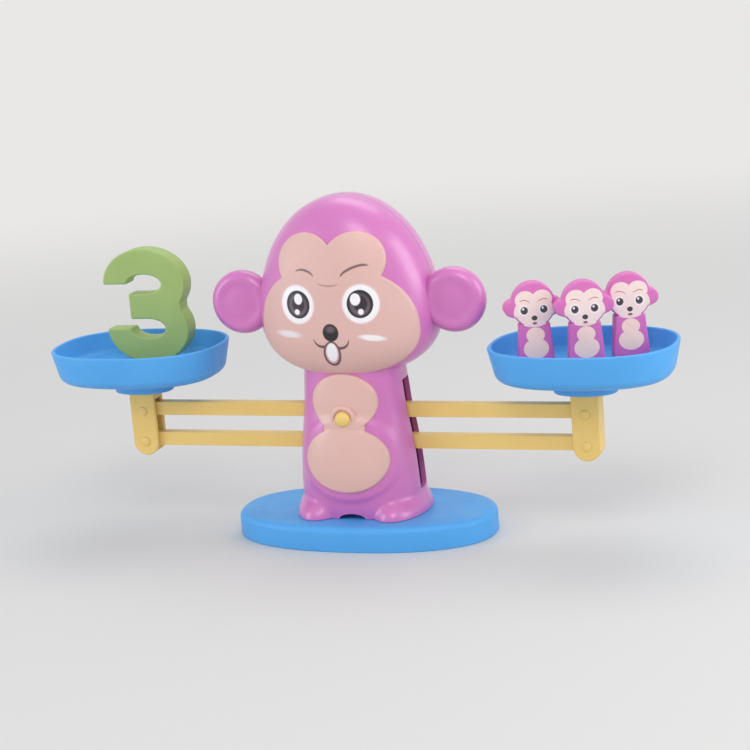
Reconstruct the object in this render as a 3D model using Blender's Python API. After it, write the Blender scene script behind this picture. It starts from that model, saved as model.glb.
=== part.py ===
"""Toy balance scale with a monkey for its stand: two level pans on a parallel pair of beams.

Metres, +Z up. The origin is the middle of the base's underside, +X runs along the beams and
the monkey looks along -Y. Left and right are meant as seen from the front.
"""
import math

import bmesh
import bpy
from mathutils import Matrix, Vector

# Gaps between pieces
FIT_GAP = 0.0003
BEAM_SIDE_GAP = 0.0005

# Base plate
BASE_LENGTH = 0.146
BASE_DEPTH = 0.080
BASE_HEIGHT = 0.0135
BASE_EDGE_ROUND = 0.0035
BASE_WALL = 0.0024
BASE_RIB = 0.0018
BASE_RIB_SPACING = 0.0245
BASE_ROUNDNESS = 2.3

# Monkey's body
BODY_WALL = 0.0026
BODY_BOTTOM_WIDTH = 0.068
BODY_TOP_WIDTH = 0.054
BODY_SWELL = 0.0025
BODY_SWELL_REACH = 0.7
BODY_FRONT_DEPTH = 0.0245
BODY_BACK_DEPTH = 0.0235
BODY_TOP_Z = 0.098
BODY_ROUNDNESS = 2.5
BODY_DEPTH_TAPER = 0.12
SHOULDER_THICKNESS = 0.0035
FOOT_SPREAD = 0.0215
FOOT_WIDTH = 0.031
FOOT_FRONT = 0.0285
FOOT_BACK = 0.0235
FOOT_HEIGHT = 0.0125
BODY_FLOOR = 0.0055
ARCH_WIDTH = 0.015
ARCH_HEIGHT = 0.003
ARCH_REACH = 0.016

# Slots in the body's sides, where the beams pass
SLOT_FRONT = 0.0045
SLOT_BACK = 0.0078
SLOT_BOTTOM_Z = 0.0255
SLOT_TOP_Z = 0.0865
SLOT_INNER_X = 0.0215

# Monkey's head
HEAD_WALL = 0.0028
HEAD_WIDTH = 0.100
HEAD_FRONT_DEPTH = 0.030
HEAD_BACK_DEPTH = 0.0395
HEAD_WIDEST_Z = 0.122
HEAD_CROWN = 0.065
HEAD_CHIN = 0.0325
HEAD_ROUNDNESS = 2.15
HEAD_CROWN_POWER = 2.0
HEAD_CHIN_POWER = 2.3
HEAD_DEPTH_POWER = 2.6
NECK_WIDTH = 0.030
NECK_DEPTH = 0.024
NECK_COLLAR_WALL = 0.002
NECK_COLLAR_RISE = 0.0075
NECK_ROUNDNESS = 2.2
NECK_FLANGE = 0.0025

# Ears
EAR_RADIUS = 0.0175
EAR_THICKNESS = 0.016
EAR_X = 0.060
EAR_Y = -0.004
EAR_Z = 0.130
EAR_FULLNESS = 0.8
EAR_DISH_RADIUS = 0.0115
EAR_DISH_DEPTH = 0.002
EAR_PEG_RADIUS = 0.003
EAR_PEG_FLANGE = 0.002
EAR_FLANGE_SET_BACK = 0.0023

# Face plate: cheeks below, two brow lobes above
PLATE_RAISE = 0.0012
PLATE_SINK = 0.0012
PLATE_BACK_LIMIT = 0.002
FACE_WIDTH = 0.088
FACE_CHEEK_Z = 0.1185
FACE_CHEEK_RISE = 0.035
FACE_CHIN_Z = 0.0925
FACE_LOBE_X = 0.0135
FACE_LOBE_Z = 0.155
FACE_LOBE_WIDTH = 0.033
FACE_LOBE_RISE = 0.0155
FACE_ROUNDNESS = 2.2

# Belly plate: a wide lobe below the waist and a narrower one above it
BELLY_LOW_WIDTH = 0.047
BELLY_LOW_Z = 0.0475
BELLY_LOW_RISE = 0.018
BELLY_TOP_WIDTH = 0.037
BELLY_TOP_Z = 0.0785
BELLY_TOP_RISE = 0.0155
BELLY_WAIST_WIDTH = 0.023

# Beams and their pivots
UPPER_PIVOT_Z = 0.070
PIVOT_SPACING = 0.0175
ARM_LENGTH = 0.127
END_PIVOT_DROP = 0.002
BEAM_HEIGHT = 0.0075
BEAM_THICKNESS = 0.006
BEAM_HUB_RADIUS = 0.007
BEAM_EDGE = 0.0006
AXLE_RADIUS = 0.003
LOWER_PIN_RADIUS = 0.0025
PIVOT_BOSS_WALL = 0.003
AXLE_REACH = 0.012
KNOB_RADIUS = 0.0042
KNOB_HEIGHT = 0.0034
KNOB_EDGE = 0.001
KNOB_RING_WALL = 0.0033
KNOB_RING_RAISE = 0.001
TILT_LIMIT_DEG = 6.0
STOP_X = 0.017
STOP_WIDTH = 0.003

# Posts under the pans
POST_WIDTH = 0.015
POST_DEPTH = 0.012
POST_WEB = 0.0022
POST_TOE = 0.008
POST_SLOT_HEADROOM = 0.0025
END_PIN_RADIUS = 0.0015
END_PIN_HEAD_RADIUS = 0.0026
END_PIN_HEAD = 0.0007
END_PIN_HEAD_EDGE = 0.0005
TENON_WIDTH = 0.010
TENON_DEPTH = 0.007
TENON_HEIGHT = 0.0042

# Pans
PAN_LENGTH = 0.100
PAN_WIDTH = 0.076
PAN_DEPTH = 0.019
PAN_TAPER = 0.004
PAN_CORNER = 0.005
PAN_WALL = 0.002
PAN_FLOOR_RISE = 0.005
PAN_SKIRT = 0.008
PAN_ROUNDNESS = 2.5
PAN_BOSS_LENGTH = 0.034
PAN_BOSS_WIDTH = 0.024
PAN_BOSS_HEIGHT = 0.008
PAN_BOSS_Z = 0.079

# Loads that stand in the pans
MINI_THICKNESS = 0.008
MINI_SPACING = 0.025
MINI_STEP_BACK = 0.0088
MINI_ROW_TURN_DEG = 23.0
MINI_ROW_X = 0.0015
MINI_ROW_Y = -0.0015
MINI_BODY_HEIGHT = 0.0225
MINI_FOOT_WIDTH = 0.0195
MINI_NECK_WIDTH = 0.016
MINI_HEAD_WIDTH = 0.023
MINI_HEAD_HEIGHT = 0.024
MINI_CHIN_OVERLAP = 0.002
MINI_EAR_RADIUS = 0.0043
MINI_EAR_X = 0.0112
MINI_EAR_Z = 0.0312
NUMERAL_HEIGHT = 0.065
NUMERAL_WIDTH = 0.050
NUMERAL_STROKE = 0.0145
NUMERAL_BAR_X = -0.0100
NUMERAL_WAIST = 0.8
NUMERAL_FOOT_CUT = 0.0007
NUMERAL_X = 0.004
NUMERAL_Y = 0.009

# Screws
SCREW_RADIUS = 0.0013
SCREW_HEAD_RADIUS = 0.0027
SCREW_HEAD = 0.002
SCREW_HEAD_EDGE = 0.6
SCREW_HEAD_TOP = 0.7
SCREW_POST_WALL = 0.0022
BODY_SCREW_LOW = (0.016, 0.034)
BODY_SCREW_HIGH = (0.017, 0.0845)
HEAD_SCREW_LOW = (0.027, 0.106)
HEAD_SCREW_HIGH = (0.022, 0.160)
SCREW_REACH = 0.012
SCREW_SEAT_Y = 0.012
BASE_SCREW_X = 0.022
BASE_SCREW_FRONT = 0.014
BASE_SCREW_BACK = 0.012
BASE_SCREW_REACH = 0.010
BASE_SCREWS = [(x, y, 0) for x in (-BASE_SCREW_X, BASE_SCREW_X)
               for y in (-BASE_SCREW_FRONT, BASE_SCREW_BACK)]

# Facets
ROUND = 12
SCREW_ROUND = 8
OVAL_RING = 24
RING = 32
COARSE_RING = 20
PAN_RING = 36
BASE_RING = 40
CORNER_STEPS = 3
FACE_POINTS = 48
PLATE_POINTS = 40
RAY_STEPS = 160

# The exact solver leaves open edges in these, which have many bosses and bores
HOLLOW_SHELLS = ("body", "head")

# Places worked out from the sizes above
LOWER_PIVOT_Z = UPPER_PIVOT_Z - PIVOT_SPACING
BODY_Z = BASE_HEIGHT + FIT_GAP
SEAM = FIT_GAP / 2
TILT_LIMIT = math.radians(TILT_LIMIT_DEG)
PAN_Z = PAN_BOSS_Z + PAN_BOSS_HEIGHT
PAN_FLOOR_Z = PAN_Z + PAN_FLOOR_RISE + PAN_WALL
FAR = 0.2
OVERCUT = 0.001


def material(name, hex_colour, roughness, metallic=0.0):
    """Principled material from an sRGB colour."""
    values = [int(hex_colour[i:i + 2], 16) / 255 for i in (1, 3, 5)]
    linear = [v / 12.92 if v <= 0.04045 else ((v + 0.055) / 1.055) ** 2.4 for v in values]
    made = bpy.data.materials.new(name)
    made.use_nodes = True
    shader = made.node_tree.nodes["Principled BSDF"]
    shader.inputs["Base Color"].default_value = (*linear, 1.0)
    shader.inputs["Roughness"].default_value = roughness
    shader.inputs["Metallic"].default_value = metallic
    made.diffuse_color = (*linear, 1.0)
    return made


def make_object(name, bm, finish=None):
    """Clean the mesh, turn its faces outwards and put it in the scene under a name.

    Corners are rounded to a tenth of a micron, so that turned ends are exactly flat for the Booleans.
    """
    for vert in bm.verts:
        vert.co = [round(value, 7) for value in vert.co]
    bmesh.ops.remove_doubles(bm, verts=bm.verts, dist=1e-6)
    bmesh.ops.recalc_face_normals(bm, faces=bm.faces)
    mesh = bpy.data.meshes.new(name)
    bm.to_mesh(mesh)
    bm.free()
    mesh.shade_smooth()
    mesh.set_sharp_from_angle(angle=math.radians(35))
    made = bpy.data.objects.new(name, mesh)
    bpy.context.scene.collection.objects.link(made)
    if finish:
        mesh.materials.append(finish)
    return made


def helper(name, bm):
    """Shape that only cuts, joins or trims others."""
    made = make_object(name, bm)
    made.hide_render = True
    made.display_type = "WIRE"
    return made


def combine(target, tool, operation):
    """Boolean of one object with another, kept as a modifier."""
    step = target.modifiers.new(f"{operation.lower()} {tool.name}", "BOOLEAN")
    step.operation = operation
    step.object = tool
    step.solver = "MANIFOLD" if target.name.startswith(HOLLOW_SHELLS) else "EXACT"


def cut(target, *tools):
    for tool in tools:
        combine(target, tool, "DIFFERENCE")


def join(target, *tools):
    for tool in tools:
        combine(target, tool, "UNION")


def move_origin(item, place):
    """Puts an object's origin on a point, such as its joint's axis, and leaves its shape in place."""
    item.data.transform(Matrix.Translation(-Vector(place)))
    item.location = place


def add_box(bm, low, high):
    made = bmesh.ops.create_cube(bm, size=1.0)
    low, high = Vector(low), Vector(high)
    size = high - low
    bmesh.ops.scale(bm, verts=made["verts"], vec=size)
    bmesh.ops.translate(bm, verts=made["verts"], vec=(low + high) / 2)


def add_turned(bm, profile, centre, axis, segments=ROUND):
    """Turned solid: profile holds (radius, distance along the axis) and ends on the axis."""
    axis, centre = Vector(axis), Vector(centre)
    radial = axis.orthogonal().normalized()
    verts = [bm.verts.new(centre + axis * along + radial * radius) for radius, along in profile]
    edges = [bm.edges.new(pair) for pair in zip(verts, verts[1:])]
    bmesh.ops.spin(bm, geom=verts + edges, cent=centre, axis=axis, angle=math.tau,
                   steps=segments, use_merge=True)
    bmesh.ops.remove_doubles(bm, verts=bm.verts, dist=1e-6)


def add_rod(bm, radius, start, end, centre, axis, segments=ROUND):
    """Plain round rod between two distances along an axis."""
    add_turned(bm, [(0, start), (radius, start), (radius, end), (0, end)], centre, axis, segments)


def add_prism(bm, outline, near, far):
    """Outline in x and z, pushed along y."""
    face = bm.faces.new([bm.verts.new((x, near, z)) for x, z in outline])
    pushed = bmesh.ops.extrude_face_region(bm, geom=[face])
    moved = [item for item in pushed["geom"] if isinstance(item, bmesh.types.BMVert)]
    bmesh.ops.translate(bm, verts=moved, vec=(0, far - near, 0))


def signed_power(value, power):
    return math.copysign(abs(value) ** power, value)


def oval_ring(half_length, front, back, roundness, z, count=RING):
    """Superellipse in x and y, with its own depth in front and behind."""
    points = []
    for step in range(count):
        angle = math.tau * step / count
        x = half_length * signed_power(math.cos(angle), 2 / roundness)
        y = signed_power(math.sin(angle), 2 / roundness)
        points.append((x, y * (back if y > 0 else front), z))
    return points


def add_loft(bm, rings):
    """Skin over a stack of rings, with a flat cap on both ends."""
    loops = []
    for ring in rings:
        verts = [bm.verts.new(point) for point in ring]
        loops.append([bm.edges.new(pair) for pair in zip(verts, verts[1:] + verts[:1])])
    for low, high in zip(loops, loops[1:]):
        bmesh.ops.bridge_loops(bm, edges=low + high)
    for end in (loops[0], loops[-1]):
        bmesh.ops.contextual_create(bm, geom=end)


def inside_oval(x, z, centre_x, centre_z, half_x, half_z, power=2.0):
    return abs((x - centre_x) / half_x) ** power + abs((z - centre_z) / half_z) ** power <= 1


def star_outline(inside, centre, reach, count):
    """Outline of a joined shape, found along rays from a point that sees all of it."""
    outline = []
    for step in range(count):
        angle = math.tau * (step + 0.5) / count
        dx, dz = math.cos(angle), math.sin(angle)
        far = reach
        while far > 0 and not inside(centre[0] + far * dx, centre[1] + far * dz):
            far -= reach / RAY_STEPS
        near_edge, far_edge = far, far + reach / RAY_STEPS
        for _ in range(12):
            middle = (near_edge + far_edge) / 2
            if inside(centre[0] + middle * dx, centre[1] + middle * dz):
                near_edge = middle
            else:
                far_edge = middle
        outline.append((centre[0] + near_edge * dx, centre[1] + near_edge * dz))
    return outline


def outline_area(outline):
    pairs = zip(outline, outline[1:] + outline[:1])
    return abs(sum(x0 * z1 - x1 * z0 for (x0, z0), (x1, z1) in pairs)) / 2


def head_half_sizes(z, grow=0.0):
    """Half width, front depth and back depth of the head at a height, with the skin moved out."""
    rise = HEAD_CROWN + grow if z > HEAD_WIDEST_Z else HEAD_CHIN + grow
    level = min(abs(z - HEAD_WIDEST_Z) / rise, 1.0)
    across = HEAD_CROWN_POWER if z > HEAD_WIDEST_Z else HEAD_CHIN_POWER
    width = (1 - level ** across) ** (1 / across)
    depth = (1 - level ** HEAD_DEPTH_POWER) ** (1 / HEAD_DEPTH_POWER)
    return ((HEAD_WIDTH / 2 + grow) * width, (HEAD_FRONT_DEPTH + grow) * depth,
            (HEAD_BACK_DEPTH + grow) * depth)


def add_head(bm, grow=0.0, around=RING):
    """Head as a ball drawn out to its own half sizes."""
    ball = bmesh.ops.create_uvsphere(bm, u_segments=around, v_segments=around // 2, radius=1.0)
    for vert in ball["verts"]:
        flat = math.hypot(vert.co.x, vert.co.y)
        rise = HEAD_CROWN if vert.co.z > 0 else HEAD_CHIN
        z = HEAD_WIDEST_Z + vert.co.z * (rise + grow)
        if flat < 1e-6:
            vert.co = (0, 0, z)
            continue
        half_x, front, back = head_half_sizes(z, grow)
        x = signed_power(vert.co.x / flat, 2 / HEAD_ROUNDNESS)
        y = signed_power(vert.co.y / flat, 2 / HEAD_ROUNDNESS)
        vert.co = (half_x * x, y * (back if y > 0 else front), z)


def skin_y(x, half_sizes, roundness, side):
    """Depth of a skin at a distance from its middle; side is -1 in front and 1 behind."""
    half_x, front, back = half_sizes
    share = max(0.0, 1 - (abs(x) / half_x) ** roundness) ** (1 / roundness)
    return side * share * (back if side > 0 else front)


def body_half_sizes(z, grow=0.0):
    """Half width, front depth and back depth of the body at a height."""
    share = min(max((z - BODY_Z) / (BODY_TOP_Z - BODY_Z), 0.0), 1.0)
    width = BODY_BOTTOM_WIDTH / 2 * (1 - share) + BODY_TOP_WIDTH / 2 * share
    swell = BODY_SWELL * math.sin(math.pi * min(share / BODY_SWELL_REACH, 1.0))
    taper = 1 - BODY_DEPTH_TAPER * share
    return (width + swell / 2 + grow, BODY_FRONT_DEPTH * taper + swell + grow,
            BODY_BACK_DEPTH * taper + swell / 2 + grow)


def add_body_skin(bm, low, high, grow=0.0, levels=8, count=RING):
    rings = []
    for step in range(levels):
        z = low + (high - low) * step / (levels - 1)
        half_x, front, back = body_half_sizes(z, grow)
        rings.append(oval_ring(half_x, front, back, BODY_ROUNDNESS, z, count))
    add_loft(bm, rings)


def oval_prism(name, half_length, half_width, low, high):
    bm = bmesh.new()
    add_loft(bm, [oval_ring(half_length, half_width, half_width, NECK_ROUNDNESS, z, OVAL_RING)
                  for z in (low, high)])
    return helper(name, bm)


def rod_helper(name, places, radius, start, end, axis, segments=ROUND):
    """Several alike rods in one helper."""
    bm = bmesh.new()
    for place in places:
        add_rod(bm, radius, start, end, place, axis, segments)
    return helper(name, bm)


def box_helper(name, *boxes):
    bm = bmesh.new()
    for low, high in boxes:
        add_box(bm, low, high)
    return helper(name, bm)


def half_of(name, shell, side, finish):
    """Front (-1) or back (1) half of a shell, cut along its seam."""
    bm = bmesh.new()
    low_y, high_y = (SEAM, FAR) if side > 0 else (-FAR, -SEAM)
    add_box(bm, (-FAR, low_y, -FAR), (FAR, high_y, 2 * FAR))
    made = make_object(name, bm, finish)
    combine(made, shell, "INTERSECT")
    return made


def mirrored_places(place):
    """The same screw place on both sides of the middle."""
    return [(-place[0], 0, place[1]), (place[0], 0, place[1])]


def make_base(finish, screw_finish):
    """Hollow oval plate, ribbed below, with the screws that hold the monkey."""
    half_length, half_depth = BASE_LENGTH / 2, BASE_DEPTH / 2
    rings = [oval_ring(half_length, half_depth, half_depth, BASE_ROUNDNESS, 0, BASE_RING)]
    for step in range(CORNER_STEPS + 1):
        angle = math.pi / 2 * step / CORNER_STEPS
        inset = BASE_EDGE_ROUND * (1 - math.cos(angle))
        z = BASE_HEIGHT - BASE_EDGE_ROUND * (1 - math.sin(angle))
        rings.append(oval_ring(half_length - inset, half_depth - inset, half_depth - inset,
                               BASE_ROUNDNESS, z, BASE_RING))
    bm = bmesh.new()
    add_loft(bm, rings)
    plate = make_object("base_plate", bm, finish)

    bm = bmesh.new()
    inner_top = BASE_HEIGHT - BASE_WALL
    add_loft(bm, [oval_ring(half_length - BASE_WALL, half_depth - BASE_WALL, half_depth - BASE_WALL,
                            BASE_ROUNDNESS, z, BASE_RING) for z in (-OVERCUT, inner_top)])
    hollow = helper("base_hollow", bm)
    half_rib = BASE_RIB / 2
    ribs = [((-half_length, -half_rib, -2 * OVERCUT), (half_length, half_rib, BASE_HEIGHT))]
    count = round(half_length / BASE_RIB_SPACING) - 1
    for step in range(-count, count):
        x = BASE_RIB_SPACING * (step + 0.5)
        ribs.append(((x - half_rib, -half_depth, -2 * OVERCUT), (x + half_rib, half_depth, BASE_HEIGHT)))
    cut(hollow, *[box_helper(f"base_rib_{number}", rib) for number, rib in enumerate(ribs)])
    cut(plate, hollow)

    cut(plate, rod_helper("base_screw_holes", BASE_SCREWS, SCREW_RADIUS + FIT_GAP, -OVERCUT, 2 * BASE_HEIGHT,
                          (0, 0, 1), SCREW_ROUND))
    seat = inner_top - FIT_GAP
    for number, place in enumerate(BASE_SCREWS, 1):
        make_screw(f"base_screw_{number}", place, (0, 0, -1), -BODY_Z - BASE_SCREW_REACH, -seat, screw_finish)


def make_body_shell():
    """Hollow body with feet, shoulder, neck, screw posts, pivot bosses and side slots."""
    bm = bmesh.new()
    add_body_skin(bm, BODY_Z - BODY_WALL, BODY_TOP_Z)
    shell = helper("body_shell", bm)

    for number, side in enumerate((-1, 1)):
        bm = bmesh.new()
        bmesh.ops.create_uvsphere(bm, u_segments=COARSE_RING, v_segments=COARSE_RING // 2, radius=1.0)
        for vert in bm.verts:
            depth = FOOT_BACK if vert.co.y > 0 else FOOT_FRONT
            vert.co = (side * FOOT_SPREAD + vert.co.x * FOOT_WIDTH / 2, vert.co.y * depth,
                       BODY_Z + vert.co.z * FOOT_HEIGHT)
        join(shell, helper(f"foot_{number}", bm))

    arch = bmesh.new()
    turns = [math.tau * step / COARSE_RING for step in range(COARSE_RING)]
    oval = [(ARCH_WIDTH / 2 * math.cos(turn), BODY_Z + ARCH_HEIGHT * math.sin(turn)) for turn in turns]
    add_prism(arch, oval, -FAR, ARCH_REACH - FOOT_FRONT)
    below = box_helper("below_feet", ((-FAR, -FAR, -FAR), (FAR, FAR, BODY_Z)))
    bm = bmesh.new()
    add_head(bm, FIT_GAP)
    head_seat = helper("head_seat", bm)
    cut(shell, below, head_seat, helper("arch_between_feet", arch))

    bm = bmesh.new()
    shoulder = HEAD_WIDEST_Z - HEAD_CHIN - SHOULDER_THICKNESS
    add_body_skin(bm, BODY_Z + BODY_FLOOR, shoulder, -BODY_WALL, 6, COARSE_RING)
    cut(shell, helper("body_hollow", bm))

    for number, side in enumerate((-1, 1)):
        low_x, high_x = sorted((side * SLOT_INNER_X, side * BODY_BOTTOM_WIDTH))
        cut(shell, box_helper(f"side_slot_{number}", ((low_x, -SLOT_FRONT, SLOT_BOTTOM_Z),
                                                      (high_x, SLOT_BACK, SLOT_TOP_Z))))

    neck_top = HEAD_WIDEST_Z - HEAD_CHIN + NECK_COLLAR_RISE + FIT_GAP
    neck = oval_prism("neck", NECK_WIDTH / 2, NECK_DEPTH / 2, shoulder + OVERCUT, neck_top + NECK_FLANGE)
    flange = oval_prism("neck_flange", NECK_WIDTH / 2 + NECK_COLLAR_WALL,
                        NECK_DEPTH / 2 + NECK_COLLAR_WALL, neck_top, neck_top + NECK_FLANGE + FIT_GAP)
    join(shell, neck, flange)

    posts = mirrored_places(BODY_SCREW_LOW) + mirrored_places(BODY_SCREW_HIGH)
    bm = bmesh.new()
    add_body_skin(bm, BODY_Z, BODY_TOP_Z, -BODY_WALL / 2)
    join(shell, screw_posts("body_posts", posts, bm))
    for number, (z, radius) in enumerate(((UPPER_PIVOT_Z, AXLE_RADIUS), (LOWER_PIVOT_Z, LOWER_PIN_RADIUS))):
        sizes = body_half_sizes(z, -BODY_WALL / 2)
        face = BEAM_THICKNESS / 2 + BEAM_SIDE_GAP
        for side, end in ((-1, skin_y(0, sizes, BODY_ROUNDNESS, -1)), (1, skin_y(0, sizes, BODY_ROUNDNESS, 1))):
            boss = rod_helper(f"pivot_boss_{number}_{side}", [(0, 0, z)], radius + PIVOT_BOSS_WALL,
                              *sorted((side * face, end)), (0, 1, 0))
            join(shell, boss)

    beam_top = BEAM_HEIGHT / 2 - END_PIVOT_DROP / 2
    stop_z = (UPPER_PIVOT_Z + beam_top / math.cos(TILT_LIMIT) + (STOP_X + STOP_WIDTH / 2) * math.tan(TILT_LIMIT)
              + FIT_GAP)
    for number, side in enumerate((-1, 1)):
        near = side * STOP_X - STOP_WIDTH / 2
        sizes = body_half_sizes(BODY_SCREW_HIGH[1], -BODY_WALL / 2)
        back = skin_y(STOP_X + STOP_WIDTH / 2, sizes, BODY_ROUNDNESS, 1)
        rib = box_helper(f"tilt_stop_{number}", ((near, -BEAM_THICKNESS / 2, stop_z),
                                                 (near + STOP_WIDTH, back, BODY_SCREW_HIGH[1])))
        join(shell, rib)
    for number, place in enumerate(BASE_SCREWS):
        join(shell, rod_helper(f"foot_post_{number}", [place], SCREW_RADIUS + SCREW_POST_WALL,
                               BODY_Z + BODY_WALL / 2, BODY_Z + BASE_SCREW_REACH + BODY_WALL, (0, 0, 1),
                               SCREW_ROUND))
    cut(shell, rod_helper("foot_screw_bores", BASE_SCREWS, SCREW_RADIUS + FIT_GAP, 0,
                          BODY_Z + BASE_SCREW_REACH + FIT_GAP, (0, 0, 1), SCREW_ROUND))

    cut(shell, screw_bores("body_screw_bores", posts))
    bm = bmesh.new()
    add_rod(bm, AXLE_RADIUS + FIT_GAP, -FAR, AXLE_REACH + FIT_GAP, (0, 0, UPPER_PIVOT_Z), (0, 1, 0))
    add_rod(bm, LOWER_PIN_RADIUS + FIT_GAP, -AXLE_REACH - FIT_GAP, AXLE_REACH + FIT_GAP, (0, 0, LOWER_PIVOT_Z),
            (0, 1, 0))
    cut(shell, helper("pivot_bores", bm))
    return shell


def screw_posts(name, places, skin):
    """Posts right through a shell, trimmed by a skin in the middle of its wall."""
    posts = rod_helper(name, places, SCREW_HEAD_RADIUS + FIT_GAP + SCREW_POST_WALL / 2, -FAR, FAR, (0, 1, 0))
    combine(posts, helper(f"{name}_trim", skin), "INTERSECT")
    return posts


def screw_bores(name, places):
    """Stepped bores for screws that go in from behind."""
    bm = bmesh.new()
    bore, wide = SCREW_RADIUS + FIT_GAP, SCREW_HEAD_RADIUS + FIT_GAP
    for place in places:
        add_turned(bm, [(0, -SCREW_REACH - FIT_GAP), (bore, -SCREW_REACH - FIT_GAP), (bore, SCREW_SEAT_Y),
                        (wide, SCREW_SEAT_Y), (wide, FAR), (0, FAR)], place, (0, 1, 0), SCREW_ROUND)
    return helper(name, bm)


def make_screw(name, place, axis, tip, seat, finish):
    """Screw with a round head; tip and seat are distances along its axis, out of the bore."""
    bm = bmesh.new()
    head = SCREW_HEAD_RADIUS
    add_turned(bm, [(0, tip), (SCREW_RADIUS, tip), (SCREW_RADIUS, seat), (head, seat),
                    (head, seat + SCREW_HEAD * SCREW_HEAD_EDGE), (head * SCREW_HEAD_TOP, seat + SCREW_HEAD),
                    (0, seat + SCREW_HEAD)], place, axis, SCREW_ROUND)
    make_object(name, bm, finish)


def make_back_screws(prefix, places, finish):
    """Screws that hold a front and a back shell together, put in from behind."""
    for number, place in enumerate(places, 1):
        make_screw(f"{prefix}_{number}", place, (0, 1, 0), -SCREW_REACH, SCREW_SEAT_Y + FIT_GAP, finish)


def make_head_shell():
    """Hollow head with its neck collar, screw posts and ear holes."""
    bm = bmesh.new()
    add_head(bm)
    shell = helper("head_shell", bm)
    bm = bmesh.new()
    add_head(bm, -HEAD_WALL, COARSE_RING)
    cut(shell, helper("head_hollow", bm))

    floor = HEAD_WIDEST_Z - HEAD_CHIN
    hole_x, hole_y = NECK_WIDTH / 2 + FIT_GAP, NECK_DEPTH / 2 + FIT_GAP
    collar = oval_prism("neck_collar", hole_x + NECK_COLLAR_WALL, hole_y + NECK_COLLAR_WALL,
                        floor + HEAD_WALL / 2, floor + NECK_COLLAR_RISE)
    bm = bmesh.new()
    add_head(bm, -HEAD_WALL / 2)
    combine(collar, helper("collar_trim", bm), "INTERSECT")
    join(shell, collar)
    posts = mirrored_places(HEAD_SCREW_LOW) + mirrored_places(HEAD_SCREW_HIGH)
    bm = bmesh.new()
    add_head(bm, -HEAD_WALL / 2)
    join(shell, screw_posts("head_posts", posts, bm))
    cut(shell, screw_bores("head_screw_bores", posts))
    cut(shell, oval_prism("neck_hole", hole_x, hole_y, floor - NECK_COLLAR_RISE,
                          floor + NECK_COLLAR_RISE + NECK_FLANGE))
    cut(shell, rod_helper("ear_peg_hole", [(0, 0, EAR_Z)], EAR_PEG_RADIUS + FIT_GAP, -FAR, FAR, (1, 0, 0),
                          SCREW_ROUND))
    return shell


def inside_face(x, z, grow=0.0):
    rise = FACE_CHEEK_RISE if z > FACE_CHEEK_Z else FACE_CHEEK_Z - FACE_CHIN_Z
    cheeks = inside_oval(x, z, 0, FACE_CHEEK_Z, FACE_WIDTH / 2 + grow, rise + grow, FACE_ROUNDNESS)
    lobe = inside_oval(abs(x), z, FACE_LOBE_X, FACE_LOBE_Z, FACE_LOBE_WIDTH / 2 + grow, FACE_LOBE_RISE + grow)
    return cheeks or lobe


def inside_belly(x, z, grow=0.0):
    low = inside_oval(x, z, 0, BELLY_LOW_Z, BELLY_LOW_WIDTH / 2 + grow, BELLY_LOW_RISE + grow)
    top = inside_oval(x, z, 0, BELLY_TOP_Z, BELLY_TOP_WIDTH / 2 + grow, BELLY_TOP_RISE + grow)
    waist = abs(x) <= BELLY_WAIST_WIDTH / 2 + grow and BELLY_LOW_Z <= z <= BELLY_TOP_Z
    return low or top or waist


def fitted_plate(name, outline, add_skin, finish):
    """Plate that follows a curved skin: the outline's prism, trimmed by the skin inside and out."""
    bm = bmesh.new()
    add_prism(bm, outline, -FAR, -PLATE_BACK_LIMIT)
    made = make_object(name, bm, finish)
    outer, inner = bmesh.new(), bmesh.new()
    add_skin(outer, PLATE_RAISE)
    add_skin(inner, -PLATE_SINK)
    combine(made, helper(f"{name}_outer", outer), "INTERSECT")
    cut(made, helper(f"{name}_inner", inner))
    return made


def plate_recess(name, outline, add_skin):
    """Space that a fitted plate takes out of its shell."""
    bm = bmesh.new()
    add_prism(bm, outline, -FAR, FIT_GAP - PLATE_BACK_LIMIT)
    space = helper(f"{name}_recess", bm)
    inner = bmesh.new()
    add_skin(inner, -PLATE_SINK - FIT_GAP)
    cut(space, helper(f"{name}_recess_floor", inner))
    return space


def make_ear(name, side, head_clear, finish):
    """Thick round ear, dished in front, held in the head's seam by a flanged peg."""
    bm = bmesh.new()
    ball = bmesh.ops.create_uvsphere(bm, u_segments=OVAL_RING, v_segments=COARSE_RING // 2, radius=1.0)
    centre = Vector((side * EAR_X, EAR_Y, EAR_Z))
    for vert in ball["verts"]:
        x, y, z = vert.co
        depth = signed_power(z, EAR_FULLNESS) * EAR_THICKNESS / 2 if abs(z) > OVERCUT else 0.0
        vert.co = centre + Vector((x * EAR_RADIUS, depth, y * EAR_RADIUS))
    made = make_object(name, bm, finish)

    dish_ball = (EAR_DISH_RADIUS ** 2 + EAR_DISH_DEPTH ** 2) / (2 * EAR_DISH_DEPTH)
    bm = bmesh.new()
    bmesh.ops.create_uvsphere(bm, u_segments=COARSE_RING, v_segments=OVAL_RING, radius=dish_ball)
    front = EAR_Y - EAR_THICKNESS / 2
    turn = Matrix.Translation((side * EAR_X, front - dish_ball + EAR_DISH_DEPTH, EAR_Z)) @ Matrix.Rotation(
        math.pi / 2, 4, "X")
    bmesh.ops.transform(bm, matrix=turn, verts=bm.verts)
    cut(made, helper(f"{name}_dish", bm), head_clear)

    bm = bmesh.new()
    half_x = head_half_sizes(EAR_Z, -HEAD_WALL)[0]
    flange_end = half_x - EAR_FLANGE_SET_BACK
    flange_start = flange_end - EAR_PEG_FLANGE
    add_turned(bm, [(0, flange_start), (2 * EAR_PEG_RADIUS, flange_start), (2 * EAR_PEG_RADIUS, flange_end),
                    (EAR_PEG_RADIUS, flange_end), (EAR_PEG_RADIUS, EAR_X), (0, EAR_X)],
               (0, 0, EAR_Z), (side, 0, 0), SCREW_ROUND)
    join(made, helper(f"{name}_peg", bm))


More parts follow.
